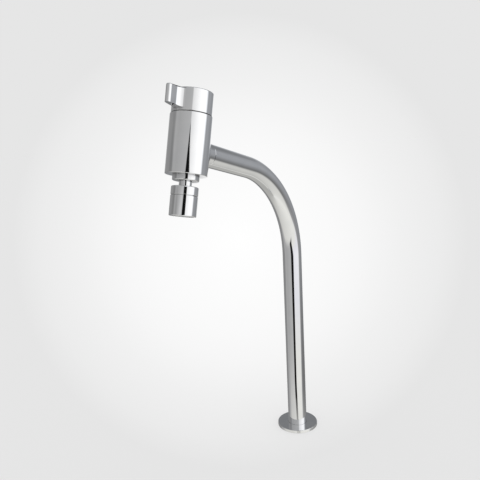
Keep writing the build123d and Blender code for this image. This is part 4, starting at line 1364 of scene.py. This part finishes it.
# Slit: its place beside the soft box and half its width both change with height.
slit_halves = [
    (-37, 0), (-33, 8), (-29, 11.5), (-22, 12), (-12, 14.3), (0, 13), (14, 13), (22.6, 0),
]
slit_bearings = [
    (-34, 74), (-30, 64), (-26, 53.5), (-19, 51.5), (-12, 49), (5, 47), (13, 47), (18, 44.5),
]
slit_side_run = (1.0, -1.0)
slit_top_run = (22.6, 21.6)
slit_foot_run = (-32.0, -27.0)
slit_depth = 0.99
slit_black = (0.001, 0.001, 0.001, 1.0)
past_middle = maths(room, "SUBTRACT", box_bearing, run_through(height, slit_bearings))
from_middle = maths(room, "ABSOLUTE", past_middle)
past_side = maths(room, "SUBTRACT", from_middle, run_through(height, slit_halves))
slit_rows = product(straight(height, slit_top_run), straight(height, slit_foot_run, slit_depth))
slit = product(straight(past_side, slit_side_run), slit_rows)
mirrored = mixed(room, slit, studio, slit_black)

# Backdrop
# Behind the tap the camera sees a pale backdrop, brightest in the middle of the picture. Only
# mirrored rays see the painted room, and everything else is lit evenly from all round.
backdrop_tones = [(0, 1.0), (90, 0.956), (120, 0.93), (160, 0.878), (200, 0.838), (228, 0.791)]
widest_ray = np.cos(np.radians(60))
soft_light = (1.0, 1.0, 1.0, 1.0)


def backdrop_tone(tree, ray):
    """The backdrop's colour along a ray from the camera: paler towards the middle of its view.

    The tangent of the angle from the view's middle times the focal length is how many pixels out
    in the picture the ray falls. The angle is held at 60 degrees, well past the last tone.
    """
    unit = vector_maths(tree, "NORMALIZE", ray)
    share = vector_maths(tree, "DOT_PRODUCT", unit, tuple(-back))
    spread = maths(tree, "ARCCOSINE", maths(tree, "MAXIMUM", share, widest_ray))
    picture_radius = maths(tree, "MULTIPLY", maths(tree, "TANGENT", spread), focal_pixels)
    picture_share = maths(tree, "MULTIPLY", picture_radius, 1 / photo_width)
    stops = [(radius / photo_width, (tone, tone, tone, 1.0)) for radius, tone in backdrop_tones]
    return tone_ramp(tree, picture_share, stops)


light_path = node_in(room, "ShaderNodeLightPath")
lit = mixed(room, light_path.outputs["Is Glossy Ray"], soft_light, mirrored)
shown = mixed(room, light_path.outputs["Is Camera Ray"], lit, backdrop_tone(room, direction))
background = node_in(room, "ShaderNodeBackground", {"Color": shown, "Strength": 1.0})
node_in(room, "ShaderNodeOutputWorld", {"Surface": background.outputs[0]})

# Worktop
# A plain pale surface that the tap stands on and that hides the shank below it. It carries the
# backdrop's tone on without an edge, as painted light that is brightest far behind the tap, where
# the middle of the camera's view meets it. Part of that tone is a painted glow, so the tap's shadow
# is faint.
# Mirrored rays pass through it to the painted table.
worktop_half = 40000 * mm
worktop_glow = 0.6
grain_size = 1.6 * mm
speckle = 0.003
worktop_mesh = bpy.data.meshes.new("worktop")
worktop_corners = np.array([(-1, -1, 0), (1, -1, 0), (1, 1, 0), (-1, 1, 0)]) * worktop_half
worktop_mesh.from_pydata(worktop_corners.tolist(), [], [(0, 1, 2, 3)])
worktop = bpy.data.objects.new("worktop", worktop_mesh)
bpy.context.scene.collection.objects.link(worktop)
worktop_look = bpy.data.materials.new("worktop_pale")
worktop_look.use_nodes = True
tree = worktop_look.node_tree
tree.nodes.clear()
place = node_in(tree, "ShaderNodeTexCoord").outputs["Object"]
sight_line = vector_maths(tree, "SUBTRACT", place, tuple(camera_place))
grain = stretched(tree, cloudy(tree, place, grain_size, detail=2.0), 1 - speckle, 1 + speckle)
# Painted light: the floor's colour is the backdrop's tone along the line from where the camera
# stands, brightest far behind the tap.
pale = node_in(
    tree,
    "ShaderNodeVectorMath",
    {0: backdrop_tone(tree, sight_line), "Scale": grain},
    operation="SCALE",
).outputs["Vector"]
matt = node_in(tree, "ShaderNodeBsdfDiffuse", {"Color": pale})
# Painted glow: part of the floor's light is its own, which thins the tap's shadow on it.
glow = node_in(tree, "ShaderNodeEmission", {"Color": pale, "Strength": 1.0})
softened = node_in(
    tree, "ShaderNodeMixShader", {0: worktop_glow, 1: matt.outputs[0], 2: glow.outputs[0]}
)
node_in(tree, "ShaderNodeOutputMaterial", {"Surface": softened.outputs[0]})
worktop_mesh.materials.append(worktop_look)
worktop.visible_glossy = False

# Display
# The picture is shown in the plain Standard view, without a film curve.
bpy.context.scene.view_settings.view_transform = "Standard"
